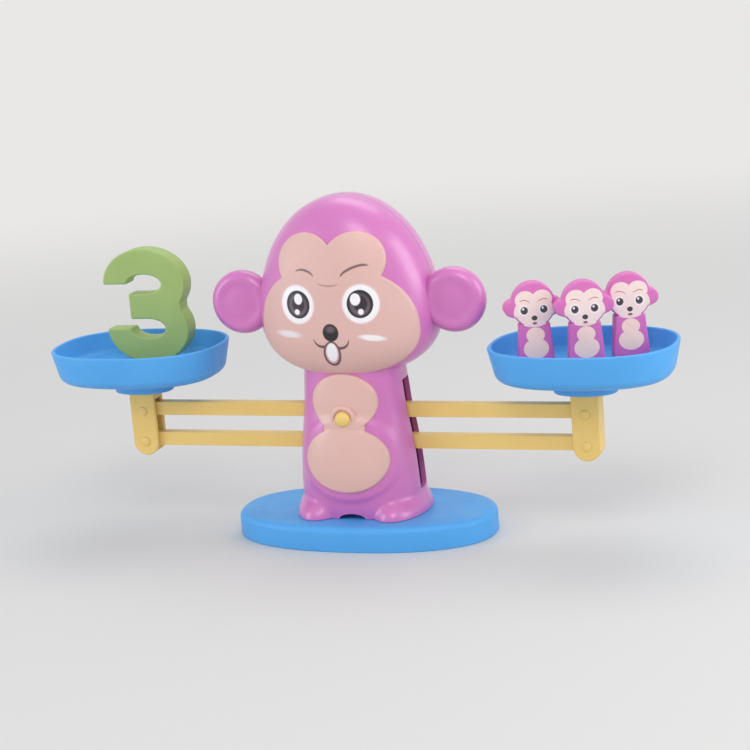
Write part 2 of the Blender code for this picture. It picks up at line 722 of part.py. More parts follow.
def make_head(body_front, pink, peach, screw_finish):
    """Head in two shells, with its face plate and ears; the body is cut back under the chin."""
    shell = make_head_shell()
    front = half_of("head_front", shell, -1, pink)
    half_of("head_back", shell, 1, pink)
    make_back_screws("head_screw", mirrored_places(HEAD_SCREW_LOW) + mirrored_places(HEAD_SCREW_HIGH),
                     screw_finish)
    centre = (0, (FACE_CHEEK_Z + FACE_LOBE_Z) / 2)
    outline = star_outline(inside_face, centre, FACE_WIDTH, FACE_POINTS)
    wider = star_outline(lambda x, z: inside_face(x, z, FIT_GAP), centre, FACE_WIDTH, FACE_POINTS)
    fitted_plate("face_plate", outline, add_head, peach)
    cut(front, plate_recess("face_plate", wider, add_head))
    bm = bmesh.new()
    add_prism(bm, wider, -FAR, FIT_GAP - PLATE_BACK_LIMIT)
    chin = helper("chin_under_plate", bm)
    bm = bmesh.new()
    add_head(bm, PLATE_RAISE + FIT_GAP)
    combine(chin, helper("chin_under_plate_skin", bm), "INTERSECT")
    cut(body_front, chin)
    bm = bmesh.new()
    add_head(bm, FIT_GAP)
    head_clear = helper("head_clear", bm)
    make_ear("left_ear", -1, head_clear, pink)
    make_ear("right_ear", 1, head_clear, pink)


def add_belly_skin(bm, grow):
    add_body_skin(bm, BODY_Z, BODY_TOP_Z, grow)


def make_body(pink, peach, screw_finish):
    """Body in two shells with its belly plate; gives the front shell and where the knob sits."""
    shell = make_body_shell()
    front = half_of("body_front", shell, -1, pink)
    half_of("body_back", shell, 1, pink)
    make_back_screws("body_screw", mirrored_places(BODY_SCREW_LOW) + mirrored_places(BODY_SCREW_HIGH),
                     screw_finish)

    centre = (0, (BELLY_LOW_Z + BELLY_TOP_Z) / 2)
    reach = BELLY_TOP_Z - BELLY_LOW_Z + BELLY_LOW_RISE
    outline = star_outline(inside_belly, centre, reach, PLATE_POINTS)
    wider = star_outline(lambda x, z: inside_belly(x, z, FIT_GAP), centre, reach, PLATE_POINTS)
    plate = fitted_plate("belly_plate", outline, add_belly_skin, peach)
    cut(front, plate_recess("belly_plate", wider, add_belly_skin))
    bm = bmesh.new()
    add_head(bm, FIT_GAP + PLATE_RAISE)
    cut(plate, helper("chin_clear", bm))
    skin = -body_half_sizes(UPPER_PIVOT_Z)[1]
    ring_face = skin - PLATE_RAISE - KNOB_RING_RAISE
    ring = rod_helper("knob_ring", [(0, 0, UPPER_PIVOT_Z)], AXLE_RADIUS + FIT_GAP + KNOB_RING_WALL,
                      ring_face, skin, (0, 1, 0), COARSE_RING)
    join(plate, ring)
    cut(plate, rod_helper("belly_axle_hole", [(0, 0, UPPER_PIVOT_Z)], AXLE_RADIUS + FIT_GAP, -FAR, 0,
                          (0, 1, 0)))
    return front, ring_face


def make_axles(ring_face, yellow, steel):
    """Axle of the upper beam with its knob, and the plain pin of the lower one."""
    seat = ring_face - FIT_GAP
    bm = bmesh.new()
    dome = [math.pi / 2 * step / CORNER_STEPS for step in range(CORNER_STEPS + 1)]
    profile = [(KNOB_RADIUS * math.sin(turn), seat - KNOB_EDGE - (KNOB_HEIGHT - KNOB_EDGE) * math.cos(turn))
               for turn in dome]
    shank = [(KNOB_RADIUS, seat), (AXLE_RADIUS, seat), (AXLE_RADIUS, AXLE_REACH), (0, AXLE_REACH)]
    add_turned(bm, profile + shank, (0, 0, UPPER_PIVOT_Z), (0, 1, 0))
    make_object("pivot_knob", bm, yellow)
    bm = bmesh.new()
    add_rod(bm, LOWER_PIN_RADIUS, -AXLE_REACH, AXLE_REACH, (0, 0, LOWER_PIVOT_Z), (0, 1, 0))
    make_object("lower_pivot_pin", bm, steel)


def make_beam(name, pivot_z, axle_radius, finish):
    """Flat bar with round ends and a hub; its end holes lie a little below its middle hole."""
    middle = -END_PIVOT_DROP / 2
    half = BEAM_HEIGHT / 2
    outline = []
    for side in (1, -1):
        for step in range(SCREW_ROUND + 1):
            angle = -math.pi / 2 + math.pi * step / SCREW_ROUND
            outline.append((side * (ARM_LENGTH + half * math.cos(angle)),
                            middle + side * half * math.sin(angle)))
    bm = bmesh.new()
    add_prism(bm, [(x, pivot_z + z) for x, z in outline], -BEAM_THICKNESS / 2, BEAM_THICKNESS / 2)
    rims = [edge for edge in bm.edges if abs(edge.verts[0].co.y - edge.verts[1].co.y) < 1e-6]
    bmesh.ops.bevel(bm, geom=rims, offset=BEAM_EDGE, segments=1, affect="EDGES", profile=0.5, material=-1)
    made = make_object(name, bm, finish)
    hub = rod_helper(f"{name}_hub", [(0, 0, pivot_z)], BEAM_HUB_RADIUS, -BEAM_THICKNESS / 2 + BEAM_EDGE / 4,
                     BEAM_THICKNESS / 2 - BEAM_EDGE / 4, (0, 1, 0), OVAL_RING)
    ends = [(side * ARM_LENGTH, 0, pivot_z - END_PIVOT_DROP) for side in (-1, 1)]
    holes = rod_helper(f"{name}_end_holes", ends, END_PIN_RADIUS + FIT_GAP, -FAR, FAR, (0, 1, 0))
    axle_hole = rod_helper(f"{name}_axle_hole", [(0, 0, pivot_z)], axle_radius + FIT_GAP, -FAR, FAR,
                           (0, 1, 0))
    for tool in (hub, holes, axle_hole):
        move_origin(tool, (0, 0, pivot_z))
    move_origin(made, (0, 0, pivot_z))
    join(made, hub)
    cut(made, axle_hole, holes)


def make_post(name, side, finish):
    """Post with a round toe, open towards the monkey, with a tenon for the pan."""
    axis_x = side * ARM_LENGTH
    low_z, high_z = LOWER_PIVOT_Z - END_PIVOT_DROP, UPPER_PIVOT_Z - END_PIVOT_DROP
    half = POST_WIDTH / 2
    shoulder = PAN_BOSS_Z - FIT_GAP
    toe_centre = low_z - POST_TOE + half
    outline = [(axis_x + half, shoulder), (axis_x - half, shoulder)]
    for step in range(ROUND + 1):
        angle = math.pi + math.pi * step / ROUND
        outline.append((axis_x + half * math.cos(angle), toe_centre + half * math.sin(angle)))
    bm = bmesh.new()
    add_prism(bm, outline, -POST_DEPTH / 2, POST_DEPTH / 2)
    made = make_object(name, bm, finish)
    tenon = box_helper(f"{name}_tenon", ((axis_x - TENON_WIDTH / 2, -TENON_DEPTH / 2, shoulder - OVERCUT),
                                         (axis_x + TENON_WIDTH / 2, TENON_DEPTH / 2, shoulder + TENON_HEIGHT)))
    slot_half = BEAM_THICKNESS / 2 + BEAM_SIDE_GAP
    slot_top = high_z + BEAM_HEIGHT / 2 + POST_SLOT_HEADROOM
    low_x, high_x = sorted((axis_x - side * FAR / 2, axis_x + side * (half - POST_WEB)))
    slot = box_helper(f"{name}_slot", ((low_x, -slot_half, -FAR), (high_x, slot_half, slot_top)))
    pins = rod_helper(f"{name}_pin_holes", [(axis_x, 0, z) for z in (low_z, high_z)], END_PIN_RADIUS + FIT_GAP,
                      -FAR, FAR, (0, 1, 0))
    for tool in (tenon, slot, pins):
        move_origin(tool, (axis_x, 0, high_z))
    move_origin(made, (axis_x, 0, high_z))
    join(made, tenon)
    cut(made, slot, pins)
    return made


def make_end_pins(prefix, post, side, finish):
    """Two headed pins through a post and the beams' ends."""
    face = POST_DEPTH / 2 + FIT_GAP
    for level, z in (("upper", UPPER_PIVOT_Z), ("lower", LOWER_PIVOT_Z)):
        centre = (side * ARM_LENGTH, 0, z - END_PIVOT_DROP)
        bm = bmesh.new()
        crown = END_PIN_HEAD_RADIUS - END_PIN_HEAD_EDGE
        add_turned(bm, [(0, -face - END_PIN_HEAD), (crown, -face - END_PIN_HEAD), (END_PIN_HEAD_RADIUS, -face),
                        (END_PIN_RADIUS, -face), (END_PIN_RADIUS, face), (END_PIN_HEAD_RADIUS, face),
                        (crown, face + END_PIN_HEAD), (0, face + END_PIN_HEAD)], centre, (0, 1, 0))
        pin = make_object(f"{prefix}_{level}_pin", bm, finish)
        hang_on(pin, post)


def hang_on(item, parent):
    """Parents a piece and leaves it where it is."""
    place = parent.location.copy()
    item.data.transform(Matrix.Translation(-place))
    item.parent = parent


def pan_rings(inset, low, high, corner):
    """Rings of a pan's skin, from its rounded bottom corner up to the rim."""
    rings = []
    half_length, half_width = PAN_LENGTH / 2 - inset, PAN_WIDTH / 2 - inset
    for step in range(CORNER_STEPS + 1):
        angle = math.pi / 2 * step / CORNER_STEPS
        z = low + corner * (1 - math.cos(angle))
        lean = PAN_TAPER * (1 - (z - PAN_Z) / PAN_DEPTH)
        draw = lean + corner * (1 - math.sin(angle))
        rings.append(oval_ring(half_length - draw, half_width - draw, half_width - draw, PAN_ROUNDNESS, z,
                               PAN_RING))
    lean = PAN_TAPER * (1 - (high - PAN_Z) / PAN_DEPTH)
    rings.append(oval_ring(half_length - lean, half_width - lean, half_width - lean, PAN_ROUNDNESS, high,
                           PAN_RING))
    return rings


def make_pan(name, post, side, finish):
    """Oval dish with leaning walls, a floor raised above its skirt and a boss that takes the post's tenon."""
    bm = bmesh.new()
    add_loft(bm, pan_rings(0, PAN_Z, PAN_Z + PAN_DEPTH, PAN_CORNER))
    made = make_object(name, bm, finish)
    bm = bmesh.new()
    add_loft(bm, pan_rings(PAN_WALL, PAN_FLOOR_Z, PAN_Z + PAN_DEPTH + OVERCUT, PAN_CORNER - PAN_WALL))
    hollow = helper(f"{name}_hollow", bm)
    below = oval_prism(f"{name}_underside", PAN_LENGTH / 2 - PAN_SKIRT, PAN_WIDTH / 2 - PAN_SKIRT,
                       PAN_Z - OVERCUT, PAN_FLOOR_Z - PAN_WALL)
    boss = oval_prism(f"{name}_boss", PAN_BOSS_LENGTH / 2, PAN_BOSS_WIDTH / 2, PAN_BOSS_Z,
                      PAN_FLOOR_Z - PAN_WALL / 2)
    socket = box_helper(f"{name}_socket", (
        (-TENON_WIDTH / 2 - FIT_GAP, -TENON_DEPTH / 2 - FIT_GAP, PAN_BOSS_Z - OVERCUT),
        (TENON_WIDTH / 2 + FIT_GAP, TENON_DEPTH / 2 + FIT_GAP, PAN_BOSS_Z + TENON_HEIGHT)))
    for item in (made, hollow, below, boss, socket):
        item.data.transform(Matrix.Translation((side * ARM_LENGTH, 0, 0)))
        hang_on(item, post)
    cut(made, hollow, below)
    join(made, boss)
    cut(made, socket)
    return made


def inside_mini(x, z):
    """Head with two ears on a slightly flared body."""
    body = MINI_FOOT_WIDTH / 2 + (MINI_NECK_WIDTH - MINI_FOOT_WIDTH) / 2 * z / MINI_BODY_HEIGHT
    torso = 0 <= z <= MINI_BODY_HEIGHT and abs(x) <= body
    head_z = MINI_BODY_HEIGHT - MINI_CHIN_OVERLAP + MINI_HEAD_HEIGHT / 2
    head = inside_oval(x, z, 0, head_z, MINI_HEAD_WIDTH / 2, MINI_HEAD_HEIGHT / 2)
    ear = inside_oval(abs(x), z, MINI_EAR_X, MINI_EAR_Z, MINI_EAR_RADIUS, MINI_EAR_RADIUS)
    return torso or head or ear


def numeral_outline():
    """Outline of a 3: one bowl, turned over for the other, with hooked ends and a middle bar."""
    half_width, half_height = NUMERAL_WIDTH / 2, NUMERAL_HEIGHT / 2
    bowl_rise = (half_height + NUMERAL_STROKE / 2) / 2
    bowl_z = NUMERAL_HEIGHT - bowl_rise
    eye_width, eye_rise = half_width - NUMERAL_STROKE, bowl_rise - NUMERAL_STROKE
    upper = [(NUMERAL_BAR_X, half_height + NUMERAL_STROKE / 2)]
    for step in range(SCREW_ROUND + 1):
        angle = -math.pi / 2 + 1.5 * math.pi * step / SCREW_ROUND
        upper.append((eye_width * math.cos(angle), bowl_z + eye_rise * math.sin(angle)))
    waist_angle = -math.asin((bowl_z - half_height) / bowl_rise) * NUMERAL_WAIST
    for step in range(2 * SCREW_ROUND + 1):
        angle = math.pi + (waist_angle - math.pi) * step / (2 * SCREW_ROUND)
        upper.append((half_width * math.cos(angle), bowl_z + bowl_rise * math.sin(angle)))
    lower = [(x, NUMERAL_HEIGHT - z) for x, z in reversed(upper)]
    return [(x, max(z, NUMERAL_FOOT_CUT) - NUMERAL_FOOT_CUT) for x, z in upper + lower]


def make_loads(left_pan, right_pan, green, pink):
    """A numeral 3 in one pan, cut to weigh what the three small monkeys in the other weigh."""
    stand_z = PAN_FLOOR_Z + FIT_GAP
    mini = star_outline(inside_mini, (0, MINI_BODY_HEIGHT + MINI_CHIN_OVERLAP),
                        MINI_BODY_HEIGHT + MINI_HEAD_HEIGHT, PLATE_POINTS)
    mini = [(x, max(z, 0.0)) for x, z in mini]
    numeral = numeral_outline()
    numeral_thickness = MINI_THICKNESS * 3 * outline_area(mini) / outline_area(numeral)

    bm = bmesh.new()
    add_prism(bm, numeral, -numeral_thickness / 2, numeral_thickness / 2)
    made = make_object("numeral_three", bm, green)
    made.data.transform(Matrix.Translation((-ARM_LENGTH + NUMERAL_X, NUMERAL_Y, stand_z)))
    hang_on(made, left_pan.parent)

    turn = Matrix.Rotation(math.radians(MINI_ROW_TURN_DEG), 4, "Z")
    row = Matrix.Translation((ARM_LENGTH + MINI_ROW_X, MINI_ROW_Y, stand_z)) @ turn
    for number, (along, back) in enumerate(((-1, 1), (0, 0), (1, 1)), 1):
        bm = bmesh.new()
        add_prism(bm, mini, -MINI_THICKNESS / 2, MINI_THICKNESS / 2)
        made = make_object(f"mini_monkey_{number}", bm, pink)
        made.data.transform(row @ Matrix.Translation((along * MINI_SPACING, back * MINI_STEP_BACK, 0)))
        hang_on(made, right_pan.parent)


def main():
    for item in list(bpy.data.objects):
        bpy.data.objects.remove(item, do_unlink=True)
    blue = material("blue ABS", "#4FA3E3", 0.35)
    pink = material("pink ABS", "#CC6FB8", 0.35)
    peach = material("peach ABS", "#DDB3A8", 0.4)
    yellow = material("yellow ABS", "#E3C772", 0.38)
    green = material("green ABS", "#8FB562", 0.45)
    steel = material("zinc plated steel", "#B9BCC0", 0.3, 1.0)

    make_base(blue, steel)
    body_front, ring_face = make_body(pink, peach, steel)
    make_head(body_front, pink, peach, steel)
    make_axles(ring_face, yellow, steel)
    make_beam("upper_beam", UPPER_PIVOT_Z, AXLE_RADIUS, yellow)
    make_beam("lower_beam", LOWER_PIVOT_Z, LOWER_PIN_RADIUS, yellow)
    pans = []
    for prefix, side in (("left", -1), ("right", 1)):
        post = make_post(f"{prefix}_post", side, yellow)
        make_end_pins(prefix, post, side, yellow)
        pans.append(make_pan(f"{prefix}_pan", post, side, blue))
    make_loads(*pans, green, pink)


main()
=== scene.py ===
import math

import bmesh
import bpy
from mathutils import Matrix, Vector


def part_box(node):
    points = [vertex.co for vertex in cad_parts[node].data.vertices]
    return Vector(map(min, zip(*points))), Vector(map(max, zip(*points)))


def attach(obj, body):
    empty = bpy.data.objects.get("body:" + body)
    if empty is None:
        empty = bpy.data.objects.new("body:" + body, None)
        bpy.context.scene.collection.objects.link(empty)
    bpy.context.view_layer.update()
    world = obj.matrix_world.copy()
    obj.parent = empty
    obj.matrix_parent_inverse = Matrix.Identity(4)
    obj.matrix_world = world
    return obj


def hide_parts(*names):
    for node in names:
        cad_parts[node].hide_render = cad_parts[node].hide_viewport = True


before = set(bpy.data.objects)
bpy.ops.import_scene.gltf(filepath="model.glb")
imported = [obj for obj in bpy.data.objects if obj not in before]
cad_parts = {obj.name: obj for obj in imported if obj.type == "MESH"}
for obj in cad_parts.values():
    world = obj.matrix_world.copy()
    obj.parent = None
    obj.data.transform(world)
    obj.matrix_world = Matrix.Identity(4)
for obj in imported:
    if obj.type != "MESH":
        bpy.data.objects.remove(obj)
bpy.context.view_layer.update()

# Sizes in metres, as in the solids
BASE_HALF = (0.073, 0.040)
BASE_HEIGHT = 0.0135
BASE_EDGE = 0.0035
BASE_FOOT_EDGE = 0.0006
BASE_WALL = 0.0024
BASE_RIB = 0.0018
BASE_RIBS_X = (-0.03675, -0.01225, 0.01225, 0.03675)
BASE_ROUNDNESS = 2.3
BODY_Z = 0.0138
BODY_TOP_Z = 0.098
BODY_SKIN_TOP_Z = 0.0965
BODY_FLOOR = 0.0055
BODY_HOLLOW_TOP_Z = 0.086
BODY_WALL = 0.0026
BODY_HALF_WIDTH = (0.034, 0.027)
BODY_DEPTH = (0.0245, 0.0235)
BODY_TAPER = 0.12
BODY_SWELL = 0.0025
BODY_SWELL_SHARE = 0.7
BODY_ROUNDNESS = 2.5
BODY_POST_END = 0.0225
BELLY_OUT = 0.0013
BELLY_OUT_HALF = (0.0315, 0.0255)
BELLY_STEP_SHARE = 0.84
BELLY_FADE = 0.01
FOOT_SPREAD = 0.0215
FOOT_HALF = (0.0155, 0.0285, 0.0235)
FOOT_HEIGHT = 0.0125
FOOT_BLEND = 0.004
ARCH_HALF = (0.0075, 0.003)
ARCH_END_Y = -0.0125
SLOT = ((0.0215, -0.0045, 0.0255), (0.060, 0.0078, 0.0865))
SLOT_EDGE = 0.0012
HEAD_WIDEST_Z = 0.122
HEAD_HALF_WIDTH = 0.050
HEAD_DEPTH = (0.030, 0.0395)
HEAD_CROWN = 0.065
HEAD_CHIN = 0.0325
HEAD_CROWN_POWER = 2.0
HEAD_CHIN_POWER = 2.3
HEAD_DEPTH_POWER = 2.6
HEAD_WALL = 0.0028
HEAD_ROUNDNESS = 2.15
HEAD_POST_END = 0.021
SHELL_EDGE = 0.0003
EAR_PLACE = (0.060, -0.004, 0.130)
EAR_RADIUS = 0.0175
EAR_HALF_THICK = 0.008
EAR_FULLNESS = 0.8
EAR_RIM_FULLNESS = 0.9
EAR_DISH_DEPTH = 0.0022
EAR_DISH_RADII = (0.0085, 0.0142)
FACE_Z = 0.1185
FACE_HALF_WIDTH = 0.044
FACE_RISE = 0.035
FACE_DROP = 0.026
FACE_ROUNDNESS = 2.2
FACE_MIDDLE = (0, 0.13675)
FACE_REACH = 0.088
BELLY_WAIST = 0.0115
BELLY_MIDDLE = (0, 0.063)
BELLY_REACH = 0.049
BELLY_CROWN = 0.0011
PLATE_RAISE = 0.0012
PLATE_SINK = 0.0012
PLATE_EDGE = 0.0009
UPPER_Z = 0.070
LOWER_Z = 0.0525
ARM = 0.127
END_DROP = 0.002
BEAM_HALF = 0.00375
BEAM_THICK = 0.006
BEAM_EDGE = 0.0009
HUB_RADIUS = 0.007
HUB_INSET = 0.0002
AXLE_RADIUS = 0.003
AXLE_END_Y = 0.012
LOWER_PIN_RADIUS = 0.0025
PIN_RADIUS = 0.0015
RIVET_RADIUS = 0.0026
RIVET_DOME = 0.0007
RIVET_GAP = 0.0002
KNOB_RADIUS = 0.0042
KNOB_WALL = 0.0008
KNOB_DOME = 0.0026
KNOB_SEAT = 0.0015
KNOB_RING_BORE = 0.0033
KNOB_RING_ROOT = (0.0066, 0.002)
KNOB_RING_RADIUS = 0.0072
KNOB_RING_CREST = (0.0058, 0.0017)
KNOB_RING_LIP = 0.0008
KNOB_RING_INSIDE = (0.0050, 0.0022)
KNOB_RING_SEAT = (0.0046, 0.0014)
FIT_GAP = 0.0003
POST_HALF = 0.0075
POST_DEPTH = 0.012
POST_TOP_Z = 0.0787
POST_SLOT_TOP_Z = 0.07425
POST_TOE_Z = 0.05
POST_WEB = 0.0022
POST_SLOT_HALF = 0.0035
POST_EDGE = 0.0008
PAN_HALF = (0.050, 0.038)
PAN_Z = 0.087
PAN_DEPTH = 0.019
PAN_TAPER = 0.004
PAN_WALL = 0.002
PAN_FLOOR_RISE = 0.005
PAN_SKIRT = 0.008
PAN_EDGE = 0.0008
PAN_CORNER = 0.005
PAN_CORNER_START = 0.25
PAN_INNER_CORNER = 0.003
PAN_FLOOR_HALF = (0.026, 0.018)
PAN_ROUNDNESS = 2.5
PAN_BOSS_HALF = (0.017, 0.012)
PAN_BOSS_Z = 0.079
PAN_BOSS_FILLET = 0.001
PAN_BOSS_ROUNDNESS = 2.2
STAND_Z = 0.0943
NUMERAL_HALF_WIDTH = 0.025
NUMERAL_HEIGHT = 0.065
NUMERAL_STROKE = 0.0145
NUMERAL_BAR_X = -0.010
NUMERAL_WAIST_SHARE = 0.8
NUMERAL_FOOT = 0.0007
NUMERAL_PLACE = (0.004, 0.009)
NUMERAL_EDGE = 0.0011
MINI_THICK = 0.008
MINI_BODY_HEIGHT = 0.0225
MINI_FOOT_HALF = 0.00975
MINI_BODY_DRAW = 0.00175
MINI_MIDDLE = (0, 0.0245)
MINI_REACH = 0.0465
MINI_EDGE = 0.0008
MINI_SPACING = 0.025
MINI_STEP_BACK = 0.0088
MINI_ROW_PLACE = (0.0015, -0.0015)
MINI_ROW_TURN_DEG = 23
SCREW_RADIUS = 0.0013
SCREW_POINT_RADIUS = 0.0008
SCREW_POINT_LENGTH = 0.0012
SCREW_HEAD_RADIUS = 0.0027
SCREW_HEAD_WALL = 0.0008
SCREW_HEAD_DOME = 0.0012
SCREW_HEAD_FULLNESS = 0.7
SCREW_POST_RADIUS = 0.0041
CROSS_HALF = (0.0015, 0.0003)
CROSS_FLOOR = 0.001
CROSS_TOP = 0.003
BORE_RADIUS = 0.0016
BORE_START = 0.002
WELL_RADIUS = 0.003
WELL_FLOOR = 0.012
SEAM = 0.00015
OVERCUT = 0.001
MERGE = 1e-6
FAR = 0.2

# Ovals in x and z: middle, then half width and half height
BROW_LOBE = (0.0135, 0.155, 0.0165, 0.0155)
BELLY_LOW = (0, 0.0475, 0.0235, 0.018)
BELLY_TOP = (0, 0.0785, 0.0185, 0.0155)
MINI_HEAD = (0, 0.0325, 0.0115, 0.012)
MINI_EAR = (0.0112, 0.0312, 0.0043, 0.0043)

# Screws: x and z on one side of the back, or x and y below the base; seat and tip along the screw's axis
BODY_SCREWS = ((0.016, 0.034), (0.017, 0.0845))
HEAD_SCREWS = ((0.027, 0.106), (0.022, 0.160))
BASE_SCREWS = ((-0.022, -0.014), (-0.022, 0.012), (0.022, -0.014), (0.022, 0.012))
BACK_SCREW_REACH = (0.0123, -0.012)
BASE_SCREW_REACH = (-0.0108, -0.0238)

# Points round each shape
RING = 128
FINE_RING = 160
COARSE_RING = 64
TURNED = 48
EAR_TURNED = 72
KNOB_TURNED = 40
PIN_TURNED = 32
SMALL_TURNED = 24
FACE_POINTS = 256
BELLY_POINTS = 192
MINI_POINTS = 168


def linear(hex_colour):
    """Linear colour of an sRGB hex value."""
    values = [int(hex_colour[i:i + 2], 16) / 255 for i in (1, 3, 5)]
    return (*[v / 12.92 if v <= 0.04045 else ((v + 0.055) / 1.055) ** 2.4 for v in values], 1.0)


def add_node(tree, kind, inputs=None, **settings):
    """Adds a node; inputs holds values, or sockets to link from, by the input's name or number."""
    made = tree.nodes.new(kind)
    for name, value in settings.items():
        setattr(made, name, value)
    for name, value in (inputs or {}).items():
        if isinstance(value, bpy.types.NodeSocket):
            tree.links.new(value, made.inputs[name])
        else:
            made.inputs[name].default_value = value
    return made


# Moulded plastics

def moulded_abs(name, hex_colour, shade_hex, roughness, peel=0.12, coat=0.0):
    """ABS from a polished mould: even colour with faint flow marks, and a skin with a little orange peel."""
    made = bpy.data.materials.new(name)
    made.use_nodes = True
    made.diffuse_color = linear(hex_colour)
    tree = made.node_tree
    shader = tree.nodes["Principled BSDF"]
    place = add_node(tree, "ShaderNodeTexCoord").outputs["Object"]
    # Flow marks some 30 mm across
    flow = add_node(tree, "ShaderNodeTexNoise", {"Vector": place, "Scale": 33.0, "Detail": 3.0,
                                                 "Distortion": 0.6})
    flow_share = add_node(tree, "ShaderNodeMapRange", {"Value": flow.outputs["Fac"], "From Min": 0.35,
                                                       "From Max": 0.65, "To Min": 0.0, "To Max": 0.5})
    colour = add_node(tree, "ShaderNodeMix", {0: flow_share.outputs["Result"], 6: linear(hex_colour),
                                              7: linear(shade_hex)}, data_type="RGBA")
    # Handling dulls the skin in patches of about 8 mm
    wear = add_node(tree, "ShaderNodeTexNoise", {"Vector": place, "Scale": 120.0, "Detail": 4.0})
    dull = add_node(tree, "ShaderNodeMapRange", {"Value": wear.outputs["Fac"], "From Min": 0.3,
                                                 "From Max": 0.7, "To Min": roughness - 0.05,
                                                 "To Max": roughness + 0.07})
    # Orange peel 1.2 mm across, coarser than the real one so that it shows
    skin = add_node(tree, "ShaderNodeTexNoise", {"Vector": place, "Scale": 830.0, "Detail": 2.0})
    bump = add_node(tree, "ShaderNodeBump", {"Height": skin.outputs["Fac"], "Strength": peel,
                                             "Distance": 0.0004})
    tree.links.new(colour.outputs[2], shader.inputs["Base Color"])
    tree.links.new(dull.outputs["Result"], shader.inputs["Roughness"])
    tree.links.new(bump.outputs["Normal"], shader.inputs["Normal"])
    shader.inputs["IOR"].default_value = 1.53
    shader.inputs["Coat Weight"].default_value = coat
    shader.inputs["Coat Roughness"].default_value = 0.3
    return made


def flat_place(tree, vector):
    """Place in x and z only, so that a print goes straight through from the front."""
    parts = add_node(tree, "ShaderNodeSeparateXYZ", {0: vector})
    return add_node(tree, "ShaderNodeCombineXYZ", {0: parts.outputs[0], 2: parts.outputs[2]}).outputs[0]


def oval_mark(tree, place, centre, half, turn=0.0, soft=0.12):
    """Mask of an oval of x and z, in millimetres; its edge fades over soft to each side, at its narrowest."""
    inner = add_node(tree, "ShaderNodeMapping", {
        "Vector": place, "Location": (centre[0] / 1000, 0, centre[1] / 1000),
        "Rotation": (0, math.radians(-turn), 0), "Scale": (half[0] / 1000, 1, half[1] / 1000)},
        vector_type="TEXTURE")
    reach = add_node(tree, "ShaderNodeVectorMath", {0: inner.outputs[0]}, operation="LENGTH")
    fade = soft / min(half)
    mask = add_node(tree, "ShaderNodeMapRange", {"Value": reach.outputs["Value"], "From Min": 1 - fade,
                                                 "From Max": 1 + fade, "To Min": 1.0, "To Max": 0.0},
                    interpolation_type="SMOOTHSTEP")
    return mask.outputs["Result"]


def joined_marks(tree, operation, *masks):
    """Masks put together two by two: MAXIMUM joins, SUBTRACT takes the later ones away."""
    result = masks[0]
    for mask in masks[1:]:
        step = add_node(tree, "ShaderNodeMath", {0: result, 1: mask}, operation=operation, use_clamp=True)
        result = step.outputs[0]
    return result


def lay_marks(made, marks, ink_roughness):
    """Marks on a plastic, pad prints and a painted highlight alike: each mark is a mask and an ink, in
    printing order.
    """
    tree = made.node_tree
    shader = tree.nodes["Principled BSDF"]
    colour = shader.inputs["Base Color"].links[0].from_socket
    dull = shader.inputs["Roughness"].links[0].from_socket
    for mask, ink in marks:
        inked = add_node(tree, "ShaderNodeMix", {0: mask, 6: colour, 7: linear(ink)}, data_type="RGBA")
        dulled = add_node(tree, "ShaderNodeMix", {0: mask, 2: dull, 3: ink_roughness}, data_type="FLOAT")
        colour, dull = inked.outputs[2], dulled.outputs[0]
    tree.links.new(colour, shader.inputs["Base Color"])
    tree.links.new(dull, shader.inputs["Roughness"])


